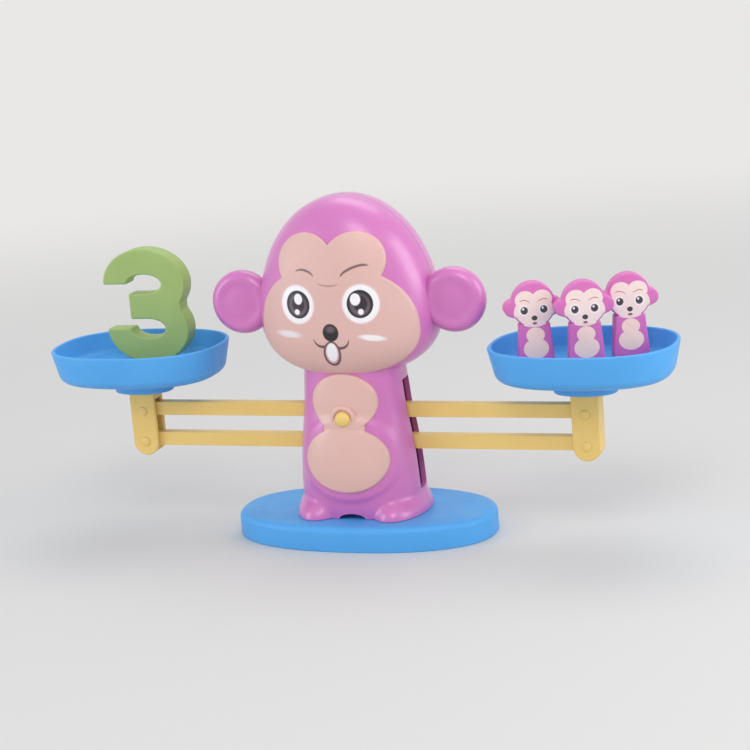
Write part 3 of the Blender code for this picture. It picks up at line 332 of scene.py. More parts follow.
def face_print_and_nose_highlight(made):
    """Pad print of the big face: ringed eyes, nose, a smile over an open mouth, brows and cheek streaks, with
    a painted highlight on the nose.

    Places and half sizes are millimetres in x and z. Eyes, nose and mouth sit about 1 mm to the left.
    """
    tree = made.node_tree
    place = flat_place(tree, add_node(tree, "ShaderNodeTexCoord").outputs["Object"])

    def oval(x, z, half_x, half_z, turn=0.0, soft=0.12):
        return oval_mark(tree, place, (x, z), (half_x, half_z), turn, soft)

    white, black, brown = "#F4F1F5", "#221920", "#6B5057"
    eye_spread, eye_shift, eye_z = 17.3, -0.7, 133.4
    glints = {-1: ((0.3, 2.9, 2.4, 2.9), (-0.8, -4.0, 1.5, 1.5)),
              1: ((-2.3, 2.5, 2.7, 3.2), (0.3, -4.2, 1.5, 1.6))}
    mouth_x, mouth_z, mouth_half, mouth_turn = -1.1, 106.6, (4.9, 7.2), -5
    nose_x, nose_z = -0.5, 118.4
    marks = []
    for side in (-1, 1):
        x, z = side * eye_spread + eye_shift, eye_z
        marks.append((oval(x + side * 0.4, z, 9.7, 10.3, 0, 0.8), white))
        marks.append((oval(x, z, 6.9, 7.5, 0, 0.25), black))
        marks.append((oval(x, z - 0.4, 5.2, 5.7, 0, 1.0), "#6B5F6A"))
        marks.append((oval(x + 0.2, z + 0.3, 3.9, 4.5, 0, 0.9), "#2C222A"))
        for move_x, move_z, half_x, half_z in glints[side]:
            marks.append((oval(x + move_x, z + move_z, half_x, half_z, 0, 0.3), white))
    marks.append((oval(-25.2, 117.2, 6.9, 1.8, -4, 0.9), "#E9DFE2"))
    marks.append((oval(21.6, 115.0, 6.5, 1.6, -9, 0.6), "#F3EEF1"))
    strokes = (((-13.3, 149.2), (5.4, 3.0), -15, (-0.2, -1.4), "#86686B"),
               ((14.4, 150.5), (7.8, 2.8), 19, (0.5, -1.4), "#7D6063"),
               ((-0.2, 144.6), (5.6, 1.6), -3, (0, 0.8), "#A98683"))
    for (x, z), (half_x, half_z), turn, (move_x, move_z), ink in strokes:
        outer = oval(x, z, half_x, half_z, turn, 0.25)
        inner = oval(x + move_x, z + move_z, half_x + 0.7, half_z + 0.1, turn, 0.25)
        marks.append((joined_marks(tree, "SUBTRACT", outer, inner), ink))
    for x, z in ((-5.4, 114.9), (4.0, 114.1)):
        cheek = oval(x, z, 5.2, 5.0, 0, 0.2)
        above = oval(x * 1.06, z + 1.9, 5.0, 5.3, 0, 0.2)
        marks.append((joined_marks(tree, "SUBTRACT", cheek, above), brown))
    for inset, rise, ink in ((0, 0, brown), (1.2, 0.3, "#D9A6A6"), (1.9, 0.8, "#F1EFF5")):
        lips = oval(mouth_x, mouth_z + rise, mouth_half[0] - inset, mouth_half[1] - inset, mouth_turn, 0.2)
        marks.append((lips, ink))
    marks.append((oval(nose_x, nose_z, 4.4, 4.8, 0, 0.4), black))
    # Painted highlight: a soft grey spot high on the black nose stands in for a reflection of the lamps
    marks.append((oval(nose_x, nose_z + 1.8, 2.4, 1.7, 0, 1.0), "#62565E"))
    lay_marks(made, marks, 0.3)


def mini_print(made):
    """Pad print of a small monkey: pale face and belly, eyes, nose, mouth and brows.

    Places are millimetres above its feet. Its UV map holds x and z in metres, and -1 off the front.
    """
    tree = made.node_tree
    uv = add_node(tree, "ShaderNodeUVMap", uv_map="print_place").outputs["UV"]
    parts = add_node(tree, "ShaderNodeSeparateXYZ", {0: uv})
    place = add_node(tree, "ShaderNodeCombineXYZ", {0: parts.outputs[0], 2: parts.outputs[1]}).outputs[0]

    def oval(x, z, half_x, half_z, turn=0.0, soft=0.1):
        return oval_mark(tree, place, (x, z), (half_x, half_z), turn, soft)

    pale, warm, dark, brown = "#F5DBD3", "#FFD9C6", "#42343E", "#9A5D6A"
    cheeks = oval(0, 29.0, 10.6, 8.1)
    lobes = joined_marks(tree, "MAXIMUM", oval(-4.4, 35.4, 5.3, 4.9), oval(4.4, 35.4, 5.3, 4.9))
    belly = joined_marks(tree, "MAXIMUM", oval(0, 16.6, 4.8, 4.1), oval(0, 9.4, 6.6, 5.4))
    marks = [(joined_marks(tree, "MAXIMUM", cheeks, lobes), pale), (belly, warm)]
    for side in (-1, 1):
        marks.append((oval(side * 5.2, 30.0, 2.6, 2.7, 0, 0.5), "#FBF3EE"))
        marks.append((oval(side * 5.1, 30.0, 1.95, 2.05, 0, 0.35), dark))
        marks.append((oval(side * 5.1 - 0.5, 30.8, 0.55, 0.6), "#F4EEF0"))
        outer = oval(side * 4.6, 34.3, 2.7, 1.3, side * 14)
        inner = oval(side * 4.6, 33.7, 2.8, 1.4, side * 14)
        marks.append((joined_marks(tree, "SUBTRACT", outer, inner), "#B88078"))
    marks.append((oval(0, 25.7, 1.5, 1.3), dark))
    marks.append((oval(0, 22.9, 1.2, 0.7), brown))
    lay_marks(made, marks, 0.35)


def zinc_steel():
    """Zinc plated steel, pressed and tumbled: bright metal with slightly duller clouds."""
    bright = linear("#B9BCC0")
    made = bpy.data.materials.new("zinc plated steel")
    made.use_nodes = True
    made.diffuse_color = bright
    tree = made.node_tree
    shader = tree.nodes["Principled BSDF"]
    place = add_node(tree, "ShaderNodeTexCoord").outputs["Object"]
    # Clouds 1.4 mm across
    cloud = add_node(tree, "ShaderNodeTexNoise", {"Vector": place, "Scale": 700.0, "Detail": 3.0})
    tint = add_node(tree, "ShaderNodeMix", {0: cloud.outputs["Fac"], 6: bright, 7: linear("#A7A9A6")},
                    data_type="RGBA")
    dull = add_node(tree, "ShaderNodeMapRange", {"Value": cloud.outputs["Fac"], "To Min": 0.24,
                                                 "To Max": 0.42})
    bump = add_node(tree, "ShaderNodeBump", {"Height": cloud.outputs["Fac"], "Strength": 0.1,
                                             "Distance": 0.0001})
    tree.links.new(tint.outputs[2], shader.inputs["Base Color"])
    tree.links.new(dull.outputs["Result"], shader.inputs["Roughness"])
    tree.links.new(bump.outputs["Normal"], shader.inputs["Normal"])
    shader.inputs["Metallic"].default_value = 1.0
    return made


# The blue shines least, so that its flat tops keep their colour
blue = moulded_abs("blue moulded ABS", "#55A8EA", "#4DA1E4", 0.42)
blue.node_tree.nodes["Principled BSDF"].inputs["Specular IOR Level"].default_value = 0.3
pink = moulded_abs("pink moulded ABS", "#D073BA", "#C96AB1", 0.33, coat=0.8)
peach = moulded_abs("peach moulded ABS", "#DEB4AB", "#DAAEA4", 0.4, coat=0.4)
# The face's peach carries the pad print and a painted highlight on the nose
face_peach = moulded_abs("peach moulded ABS with a printed face", "#DEB5AE", "#DAAFA7", 0.42)
face_print_and_nose_highlight(face_peach)
yellow = moulded_abs("yellow moulded ABS", "#EBC976", "#E6C16B", 0.36)
green = moulded_abs("green moulded ABS", "#A1BA6D", "#98B163", 0.46, 0.25)
mini_pink = moulded_abs("pink moulded ABS with a printed monkey", "#D871B7", "#D269AF", 0.42)
mini_print(mini_pink)
steel = zinc_steel()


# Making pieces

def piece(name, bm, finish, body, slot, *nodes, sharp=35.0):
    """Finished piece in the scene, riding on its body in place of its CAD nodes."""
    bmesh.ops.remove_doubles(bm, verts=bm.verts, dist=MERGE)
    bmesh.ops.recalc_face_normals(bm, faces=bm.faces)
    mesh = bpy.data.meshes.new(name)
    bm.to_mesh(mesh)
    bm.free()
    mesh.shade_smooth()
    mesh.set_sharp_from_angle(angle=math.radians(sharp))
    mesh.materials.append(finish)
    made = bpy.data.objects.new(name, mesh)
    bpy.context.scene.collection.objects.link(made)
    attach(made, body)
    if nodes:
        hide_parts(*nodes)
    return made


def combined(bm, *steps):
    """Mesh after Booleans with other meshes; each step is an operation and a mesh."""
    bmesh.ops.remove_doubles(bm, verts=bm.verts, dist=MERGE)
    holders = []
    for shape in (bm, *[tool for _, tool in steps]):
        bmesh.ops.recalc_face_normals(shape, faces=shape.faces)
        mesh = bpy.data.meshes.new("in_work")
        shape.to_mesh(mesh)
        shape.free()
        holders.append(bpy.data.objects.new("in_work", mesh))
        bpy.context.scene.collection.objects.link(holders[-1])
    for (operation, _), holder in zip(steps, holders[1:]):
        step = holders[0].modifiers.new("in_work", "BOOLEAN")
        step.operation = operation
        step.object = holder
        step.solver = "EXACT"
    bpy.context.view_layer.update()
    done = bmesh.new()
    done.from_object(holders[0], bpy.context.evaluated_depsgraph_get())
    for holder in holders:
        mesh = holder.data
        bpy.data.objects.remove(holder)
        bpy.data.meshes.remove(mesh)
    bmesh.ops.remove_doubles(done, verts=done.verts, dist=MERGE)
    return done


def soft_edges(made, width, segments=3, angle=40.0):
    """Edge radius of the mould, on edges sharper than the angle in degrees."""
    step = made.modifiers.new("edge radius", "BEVEL")
    step.width = width
    step.segments = segments
    step.limit_method = "ANGLE"
    step.angle_limit = math.radians(angle)
    step.harden_normals = False


def box(low, high, rounding=0.0):
    """Block between two corners."""
    bm = bmesh.new()
    bmesh.ops.create_cube(bm, size=1.0)
    low, high = Vector(low), Vector(high)
    bmesh.ops.scale(bm, verts=bm.verts, vec=high - low)
    bmesh.ops.translate(bm, verts=bm.verts, vec=(low + high) / 2)
    if rounding:
        bmesh.ops.bevel(bm, geom=bm.edges, offset=rounding, segments=4, affect="EDGES", profile=0.5,
                        material=-1)
    return bm


def turned(profile, centre, axis, segments=TURNED):
    """Turned solid: profile holds (radius, distance along the axis) and ends on the axis."""
    bm = bmesh.new()
    axis, centre = Vector(axis), Vector(centre)
    radial = axis.orthogonal().normalized()
    verts = [bm.verts.new(centre + axis * along + radial * radius) for radius, along in profile]
    edges = [bm.edges.new(pair) for pair in zip(verts, verts[1:])]
    bmesh.ops.spin(bm, geom=verts + edges, cent=centre, axis=axis, angle=math.tau, steps=segments,
                   use_merge=True)
    bmesh.ops.remove_doubles(bm, verts=bm.verts, dist=MERGE)
    return bm


def rod(radius, start, end, centre, axis, segments=TURNED):
    """Round rod between two distances along the axis."""
    return turned([(0, start), (radius, start), (radius, end), (0, end)], centre, axis, segments)


def pushed(outline, near, far):
    """Outline in x and z, pushed along y."""
    bm = bmesh.new()
    face = bm.faces.new([bm.verts.new((x, near, z)) for x, z in outline])
    made = bmesh.ops.extrude_face_region(bm, geom=[face])
    moved = [item for item in made["geom"] if isinstance(item, bmesh.types.BMVert)]
    bmesh.ops.translate(bm, verts=moved, vec=(0, far - near, 0))
    return bm


def skinned(around, levels, place):
    """Closed skin from a grid: each corner goes where its step round and its level put it."""
    bm = bmesh.new()
    bmesh.ops.create_grid(bm, x_segments=around, y_segments=levels - 1, size=0.5)
    for vert in bm.verts:
        step, level = round((vert.co.x + 0.5) * around), round((vert.co.y + 0.5) * (levels - 1))
        vert.co = place(step % around, level)
    bmesh.ops.remove_doubles(bm, verts=bm.verts, dist=MERGE)
    return bm


def arc(count, start=0.0, end=90.0):
    """Cosines and sines of evenly spaced turns."""
    turns = [math.radians(start + (end - start) * step / (count - 1)) for step in range(count)]
    return [(math.cos(turn), math.sin(turn)) for turn in turns]


def signed_power(value, power):
    """Power of a value's size, with the value's own sign."""
    return math.copysign(abs(value) ** power, value)


def both_sides(places):
    """Each place's mirror image on the left, then the place itself."""
    return [(side * x, z) for x, z in places for side in (-1, 1)]


def oval_point(turn, half_x, front, back, roundness):
    """Point of a superellipse whose front and back halves differ in depth."""
    x = half_x * signed_power(math.cos(turn), 2 / roundness)
    y = signed_power(math.sin(turn), 2 / roundness)
    return x, y * (back if y > 0 else front)


def oval_skin(rings, around=RING):
    """Skin through superellipse rings; each ring is half length, half width, roundness and height."""
    def place(step, level):
        half_x, half_y, roundness, z = rings[level]
        return (*oval_point(math.tau * step / around, half_x, half_y, half_y, roundness), z)
    return skinned(around, len(rings), place)


# Base plate

def make_base():
    half_x, half_y = BASE_HALF
    foot = BASE_FOOT_EDGE
    rings = [(0, 0, BASE_ROUNDNESS, 0)]
    rings += [(half_x - foot + foot * s, half_y - foot + foot * s, BASE_ROUNDNESS, foot - foot * c)
              for c, s in arc(4)]
    rings += [(half_x - BASE_EDGE + BASE_EDGE * c, half_y - BASE_EDGE + BASE_EDGE * c, BASE_ROUNDNESS,
               BASE_HEIGHT - BASE_EDGE + BASE_EDGE * s) for c, s in arc(9)]
    rings += [(half_x * share, half_y * share, BASE_ROUNDNESS, BASE_HEIGHT) for share in (0.8, 0.4, 0)]
    inner_x, inner_y, top = half_x - BASE_WALL, half_y - BASE_WALL, BASE_HEIGHT - BASE_WALL
    hollow = oval_skin([(0, 0, BASE_ROUNDNESS, -OVERCUT), (inner_x, inner_y, BASE_ROUNDNESS, -OVERCUT),
                        (inner_x, inner_y, BASE_ROUNDNESS, top), (0, 0, BASE_ROUNDNESS, top)])
    low = -2 * OVERCUT
    ribs = [box((-half_x, -BASE_RIB / 2, low), (half_x, BASE_RIB / 2, BASE_HEIGHT))]
    ribs += [box((x - BASE_RIB / 2, -half_y, low), (x + BASE_RIB / 2, half_y, BASE_HEIGHT))
             for x in BASE_RIBS_X]
    hollow = combined(hollow, *[("DIFFERENCE", rib) for rib in ribs])
    holes = [rod(BORE_RADIUS, -OVERCUT, 2 * BASE_HEIGHT, (x, y, 0), (0, 0, 1), SMALL_TURNED)
             for x, y in BASE_SCREWS]
    plate = combined(oval_skin(rings), ("DIFFERENCE", hollow), *[("DIFFERENCE", hole) for hole in holes])
    piece("base", plate, blue, "stand", "blue_abs", "base_plate")


# Monkey's body

def body_half_sizes(z, grow=0.0):
    """Half width, depth to the front and depth to the back at a height."""
    share = min(max((z - BODY_Z) / (BODY_TOP_Z - BODY_Z), 0.0), 1.0)
    width = BODY_HALF_WIDTH[0] * (1 - share) + BODY_HALF_WIDTH[1] * share
    swell = BODY_SWELL * math.sin(math.pi * min(share / BODY_SWELL_SHARE, 1.0))
    taper = 1 - BODY_TAPER * share
    front, back = BODY_DEPTH
    return width + swell / 2 + grow, front * taper + swell + grow, back * taper + swell / 2 + grow


def smooth_share(value, low, high):
    """How far a value is from low to high, from 0 to 1, eased at both ends."""
    share = min(max((value - low) / (high - low), 0.0), 1.0)
    return share * share * (3 - 2 * share)


def belly_swell(x, z):
    """Round of the belly, which stands out of the body's front and ends in a soft step."""
    reach = math.hypot(x / BELLY_OUT_HALF[0], (z - BELLY_LOW[1]) / BELLY_OUT_HALF[1])
    return BELLY_OUT * (1 - smooth_share(reach, BELLY_STEP_SHARE, 1.0))


def oval_reach(turn, half_x, front, back, roundness):
    """How far an oval reaches from its middle, along a direction."""
    across, along = math.cos(turn), math.sin(turn)
    depth = back if along > 0 else front
    return (abs(across / half_x) ** roundness + abs(along / depth) ** roundness) ** (-1 / roundness)


def foot_reach(turn, z, grow):
    """How far a foot reaches from the body's middle, along a direction."""
    rise = (z - BODY_Z) / (FOOT_HEIGHT + grow)
    if rise >= 1:
        return 0.0
    level = math.sqrt(1 - max(rise, 0.0) ** 2)
    across, along = abs(math.cos(turn)), math.sin(turn)
    half_x = (FOOT_HALF[0] + grow) * level
    half_y = (FOOT_HALF[2 if along > 0 else 1] + grow) * level
    a = (across / half_x) ** 2 + (along / half_y) ** 2
    b = across * FOOT_SPREAD / half_x ** 2
    inside = b * b - a * ((FOOT_SPREAD / half_x) ** 2 - 1)
    return (b + math.sqrt(inside)) / a if inside > 0 else 0.0


def blended(first, second, width):
    """The larger of two reaches, with a fillet where they are nearly the same."""
    overlap = max(width - abs(first - second), 0.0)
    return max(first, second) + overlap ** 2 / (4 * width)


def body_skin(low, high, grow=0.0, around=FINE_RING, levels=64, feet=True):
    """Body's skin with its feet melted into it."""
    def place(step, level):
        z = low + (high - low) * min(max((level - 1) / (levels - 3), 0.0), 1.0)
        if level in (0, levels - 1):
            return 0, 0, z
        turn = math.tau * step / around
        sizes = body_half_sizes(z, grow)
        reach = oval_reach(turn, *sizes, BODY_ROUNDNESS)
        if feet:
            reach = blended(reach, foot_reach(turn, z, grow), FOOT_BLEND)
        x, y = reach * math.cos(turn), reach * math.sin(turn)
        if y < 0:
            y -= belly_swell(x, z) * min(-y / BELLY_FADE, 1.0)
        return x, y, z
    return skinned(around, levels, place)


def split_shell(name, shell, screws, post_end):
    """Front and back shell, parted at the seam; the back one's posts are bored for the screws."""
    back_copy = shell.copy()
    front = combined(shell, ("INTERSECT", box((-FAR, -FAR, -FAR), (FAR, -SEAM, FAR))))
    places = both_sides(screws)
    posts = [rod(SCREW_POST_RADIUS, SEAM, post_end, (x, 0, z), (0, 1, 0), SMALL_TURNED) for x, z in places]
    profile = [(0, BORE_START), (BORE_RADIUS, BORE_START), (BORE_RADIUS, WELL_FLOOR),
               (WELL_RADIUS, WELL_FLOOR), (WELL_RADIUS, FAR), (0, FAR)]
    bores = [turned(profile, (x, 0, z), (0, 1, 0), SMALL_TURNED) for x, z in places]
    back = combined(back_copy, ("INTERSECT", box((-FAR, SEAM, -FAR), (FAR, FAR, FAR))),
                    *[("UNION", post) for post in posts], *[("DIFFERENCE", bore) for bore in bores])
    for half, bm in (("front", front), ("back", back)):
        made = piece(f"{name}_{half}_shell", bm, pink, "stand", "pink_abs", f"{name}_{half}")
        soft_edges(made, SHELL_EDGE, 2)


def make_body():
    outer = body_skin(BODY_Z, BODY_SKIN_TOP_Z)
    inner = body_skin(BODY_Z + BODY_FLOOR, BODY_HOLLOW_TOP_Z, -BODY_WALL, COARSE_RING, 24, False)
    low, high = SLOT
    slots = []
    for side in (-1, 1):
        near, far = sorted((side * low[0], side * high[0]))
        slots.append(box((near, low[1], low[2]), (far, high[1], high[2]), SLOT_EDGE))
    arch = pushed([(ARCH_HALF[0] * c, BODY_Z + ARCH_HALF[1] * s) for c, s in arc(32, 0, 348.75)],
                  -FAR, ARCH_END_Y)
    shell = combined(outer, ("DIFFERENCE", inner), *[("DIFFERENCE", slot) for slot in slots],
                     ("DIFFERENCE", arch))
    split_shell("body", shell, BODY_SCREWS, BODY_POST_END)


# Monkey's head

def head_half_sizes(z, grow=0.0):
    """Half width, depth to the front and depth to the back at a height."""
    rise = HEAD_CROWN + grow if z > HEAD_WIDEST_Z else HEAD_CHIN + grow
    level = min(abs(z - HEAD_WIDEST_Z) / rise, 1.0)
    across = HEAD_CROWN_POWER if z > HEAD_WIDEST_Z else HEAD_CHIN_POWER
    width = (1 - level ** across) ** (1 / across)
    depth = (1 - level ** HEAD_DEPTH_POWER) ** (1 / HEAD_DEPTH_POWER)
    return ((HEAD_HALF_WIDTH + grow) * width, (HEAD_DEPTH[0] + grow) * depth, (HEAD_DEPTH[1] + grow) * depth)


def head_skin(grow=0.0, around=FINE_RING):
    """Ball drawn out to the head's own half sizes."""
    bm = bmesh.new()
    bmesh.ops.create_uvsphere(bm, u_segments=around, v_segments=around // 2, radius=1.0)
    for vert in bm.verts:
        flat = math.hypot(vert.co.x, vert.co.y)
        rise = HEAD_CROWN if vert.co.z > 0 else HEAD_CHIN
        z = HEAD_WIDEST_Z + vert.co.z * (rise + grow)
        if flat < MERGE:
            vert.co = (0, 0, z)
            continue
        half_x, front, back = head_half_sizes(z, grow)
        x = signed_power(vert.co.x / flat, 2 / HEAD_ROUNDNESS)
        y = signed_power(vert.co.y / flat, 2 / HEAD_ROUNDNESS)
        vert.co = (half_x * x, y * (back if y > 0 else front), z)
    return bm


def make_head():
    shell = combined(head_skin(), ("DIFFERENCE", head_skin(-HEAD_WALL, COARSE_RING)))
    split_shell("head", shell, HEAD_SCREWS, HEAD_POST_END)


def make_ears():
    """Round ears, hollowed in front."""
    profile = []
    for c, s in arc(28, -90, 90):
        radius = EAR_RADIUS * abs(c) ** EAR_RIM_FULLNESS
        along = EAR_HALF_THICK * signed_power(s, EAR_FULLNESS)
        if along < 0:
            along += EAR_DISH_DEPTH * (1 - smooth_share(radius, *EAR_DISH_RADII))
        profile.append((radius, along))
    profile[0] = (0, profile[0][1])
    profile[-1] = (0, profile[-1][1])
    for prefix, side in (("left", -1), ("right", 1)):
        bm = turned(profile, (side * EAR_PLACE[0], EAR_PLACE[1], EAR_PLACE[2]), (0, 1, 0), EAR_TURNED)
        piece(f"{prefix}_ear_shell", bm, pink, "stand", "pink_abs", f"{prefix}_ear", sharp=60)


# Plates on the face and the belly

def inside_oval(x, z, centre_x, centre_z, half_x, half_z, power=2.0):
    return abs((x - centre_x) / half_x) ** power + abs((z - centre_z) / half_z) ** power <= 1


def inside_face(x, z):
    half_height = FACE_RISE if z > FACE_Z else FACE_DROP
    cheeks = inside_oval(x, z, 0, FACE_Z, FACE_HALF_WIDTH, half_height, FACE_ROUNDNESS)
    return cheeks or inside_oval(abs(x), z, *BROW_LOBE)


def inside_belly(x, z):
    low = inside_oval(x, z, *BELLY_LOW)
    top = inside_oval(x, z, *BELLY_TOP)
    return low or top or (abs(x) <= BELLY_WAIST and BELLY_LOW[1] <= z <= BELLY_TOP[1])


def star_outline(inside, centre, reach, count):
    """Outline of a joined shape, found along rays from a point that sees all of it.

    Each search starts at the reach, outside the shape, and comes in by strides, then by halving.
    """
    stride, halvings = reach / 200, 14
    outline = []
    for step in range(count):
        turn = math.tau * (step + 0.5) / count
        dx, dz = math.cos(turn), math.sin(turn)
        far = reach
        while far > 0 and not inside(centre[0] + far * dx, centre[1] + far * dz):
            far -= stride
        near_edge, far_edge = far, far + stride
        for _ in range(halvings):
            middle = (near_edge + far_edge) / 2
            if inside(centre[0] + middle * dx, centre[1] + middle * dz):
                near_edge = middle
            else:
                far_edge = middle
        outline.append((centre[0] + near_edge * dx, centre[1] + near_edge * dz))
    return outline


def front_of(half_sizes, x, roundness):
    """y of an oval's front at x."""
    half_x, front, _ = half_sizes
    return -front * max(0.0, 1 - (abs(x) / half_x) ** roundness) ** (1 / roundness)


def head_front(x, z, raised):
    return front_of(head_half_sizes(z, raised), x, HEAD_ROUNDNESS)


def belly_front(x, z, raised):
    return front_of(body_half_sizes(z, raised), x, BODY_ROUNDNESS) - belly_swell(x, z)


def plate_skin(outline, centre, front, crown):
    """Plate with a rounded edge that follows a curved skin; crown is how far its middle stands out."""
    levels = [(share / 20, 0.0, PLATE_RAISE) for share in range(20)]
    levels += [(1, PLATE_EDGE * (1 - s), PLATE_RAISE - PLATE_EDGE * (1 - c)) for c, s in arc(7)]
    face_levels = len(levels)
    levels += [(1, 0.0, -PLATE_SINK), (0.6, 0.0, -PLATE_SINK), (0, 0.0, -PLATE_SINK)]

    def place(step, level):
        share, inset, raised = levels[level]
        dx, dz = outline[step][0] - centre[0], outline[step][1] - centre[1]
        reach = math.hypot(dx, dz)
        scale = (share * reach - inset) / reach
        x, z = centre[0] + dx * scale, centre[1] + dz * scale
        if level < face_levels:
            raised += crown(x, z)
        return x, front(x, z, raised), z
    return skinned(len(outline), len(levels), place)


def belly_crown(x, z):
    """Each lobe of the belly is crowned like a lens."""
    low, top = [1 - ((x - middle_x) / half_x) ** 2 - ((z - middle_z) / half_z) ** 2
                for middle_x, middle_z, half_x, half_z in (BELLY_LOW, BELLY_TOP)]
    return BELLY_CROWN * math.sqrt(max(low, top, 0.0))


def knob_ring(skin):
    """Raised ring round the knob, rooted behind the skin; its values are a radius and how far out it lies."""
    bore, lip = KNOB_RING_BORE, KNOB_RING_LIP
    root_radius, root_depth = KNOB_RING_ROOT
    crest_radius, crest_rise = KNOB_RING_CREST
    inside_radius, inside_rise = KNOB_RING_INSIDE
    seat_radius, seat_rise = KNOB_RING_SEAT
    root, seat = skin + root_depth, skin - seat_rise
    profile = [(bore, root), (root_radius, root), (KNOB_RING_RADIUS, seat)]
    profile += [(crest_radius + lip * c, skin - crest_rise - lip * s) for c, s in arc(6)]
    profile += [(inside_radius, skin - inside_rise), (seat_radius, seat), (bore, seat), (bore, root)]
    return turned(profile, (0, 0, UPPER_Z), (0, 1, 0))


def make_plates():
    """Face plate, and belly plate with its ring; gives the y of the belly's skin at the knob."""
    outline = star_outline(inside_face, FACE_MIDDLE, FACE_REACH, FACE_POINTS)
    face = plate_skin(outline, FACE_MIDDLE, head_front, lambda x, z: 0.0)
    piece("face_mask", face, face_peach, "stand", "peach_abs", "face_plate", sharp=50)
    outline = star_outline(inside_belly, BELLY_MIDDLE, BELLY_REACH, BELLY_POINTS)
    belly = plate_skin(outline, BELLY_MIDDLE, belly_front, belly_crown)
    skin = belly_front(0, UPPER_Z, 0)
    belly = combined(belly, ("UNION", knob_ring(skin)))
    piece("belly_panel", belly, peach, "stand", "peach_abs", "belly_plate", sharp=50)
    return skin


def make_knob(skin):
    seat = skin - KNOB_SEAT
    face = [(KNOB_RADIUS * s, seat - KNOB_WALL - KNOB_DOME * c) for c, s in arc(10)]
    shank = [(KNOB_RADIUS, seat), (AXLE_RADIUS, seat), (AXLE_RADIUS, AXLE_END_Y), (0, AXLE_END_Y)]
    knob = turned(face + shank, (0, 0, UPPER_Z), (0, 1, 0), KNOB_TURNED)
    piece("knob_and_axle", knob, yellow, "stand", "yellow_abs", "pivot_knob")


# Linkage

def bar_outline(z):
    """Straight bar with round ends, in height halfway between its middle pivot and its end pivots."""
    points = []
    for side in (1, -1):
        for c, s in arc(17, -90, 90):
            points.append((side * (ARM + BEAM_HALF * c), z - END_DROP / 2 + side * BEAM_HALF * s))
    return points


def make_beams():
    for name, z, radius in (("upper_beam", UPPER_Z, AXLE_RADIUS), ("lower_beam", LOWER_Z, LOWER_PIN_RADIUS)):
        half = BEAM_THICK / 2
        hub = rod(HUB_RADIUS, -half + HUB_INSET, half - HUB_INSET, (0, 0, z), (0, 1, 0))
        holes = [rod(radius + FIT_GAP, -FAR, FAR, (0, 0, z), (0, 1, 0), SMALL_TURNED)]
        holes += [rod(PIN_RADIUS + FIT_GAP, -FAR, FAR, (side * ARM, 0, z - END_DROP), (0, 1, 0), SMALL_TURNED)
                  for side in (-1, 1)]
        bm = combined(pushed(bar_outline(z), -half, half), ("UNION", hub),
                      *[("DIFFERENCE", hole) for hole in holes])
        soft_edges(piece(f"{name}_bar", bm, yellow, name, "yellow_abs", name), BEAM_EDGE)


def make_posts():
    """Posts, slotted for the beams, and the headed pins in them."""
    for prefix, side in (("left", -1), ("right", 1)):
        x = side * ARM
        outline = [(x + POST_HALF, POST_TOP_Z), (x - POST_HALF, POST_TOP_Z)]
        outline += [(x + POST_HALF * c, POST_TOE_Z + POST_HALF * s) for c, s in arc(25, 180, 360)]
        near, far = sorted((x - side * FAR / 2, x + side * (POST_HALF - POST_WEB)))
        slot = box((near, -POST_SLOT_HALF, -FAR), (far, POST_SLOT_HALF, POST_SLOT_TOP_Z))
        holes = [rod(PIN_RADIUS + FIT_GAP, -FAR, FAR, (x, 0, z - END_DROP), (0, 1, 0), SMALL_TURNED)
                 for z in (UPPER_Z, LOWER_Z)]
        bm = combined(pushed(outline, -POST_DEPTH / 2, POST_DEPTH / 2), ("DIFFERENCE", slot),
                      *[("DIFFERENCE", hole) for hole in holes])
        post = piece(f"{prefix}_post_shell", bm, yellow, f"{prefix}_dish", "yellow_abs", f"{prefix}_post")
        soft_edges(post, POST_EDGE)
        face = POST_DEPTH / 2 + RIVET_GAP
        dome = [(RIVET_RADIUS * s, -face - RIVET_DOME * c) for c, s in arc(6)]
        profile = dome + [(PIN_RADIUS, -face), (PIN_RADIUS, face)] + [(r, -y) for r, y in reversed(dome)]
        for level, z in (("upper", UPPER_Z), ("lower", LOWER_Z)):
            pin = turned(profile, (x, 0, z - END_DROP), (0, 1, 0), PIN_TURNED)
            piece(f"{prefix}_{level}_rivet", pin, yellow, f"{prefix}_dish", "yellow_abs",
                  f"{prefix}_{level}_pin")


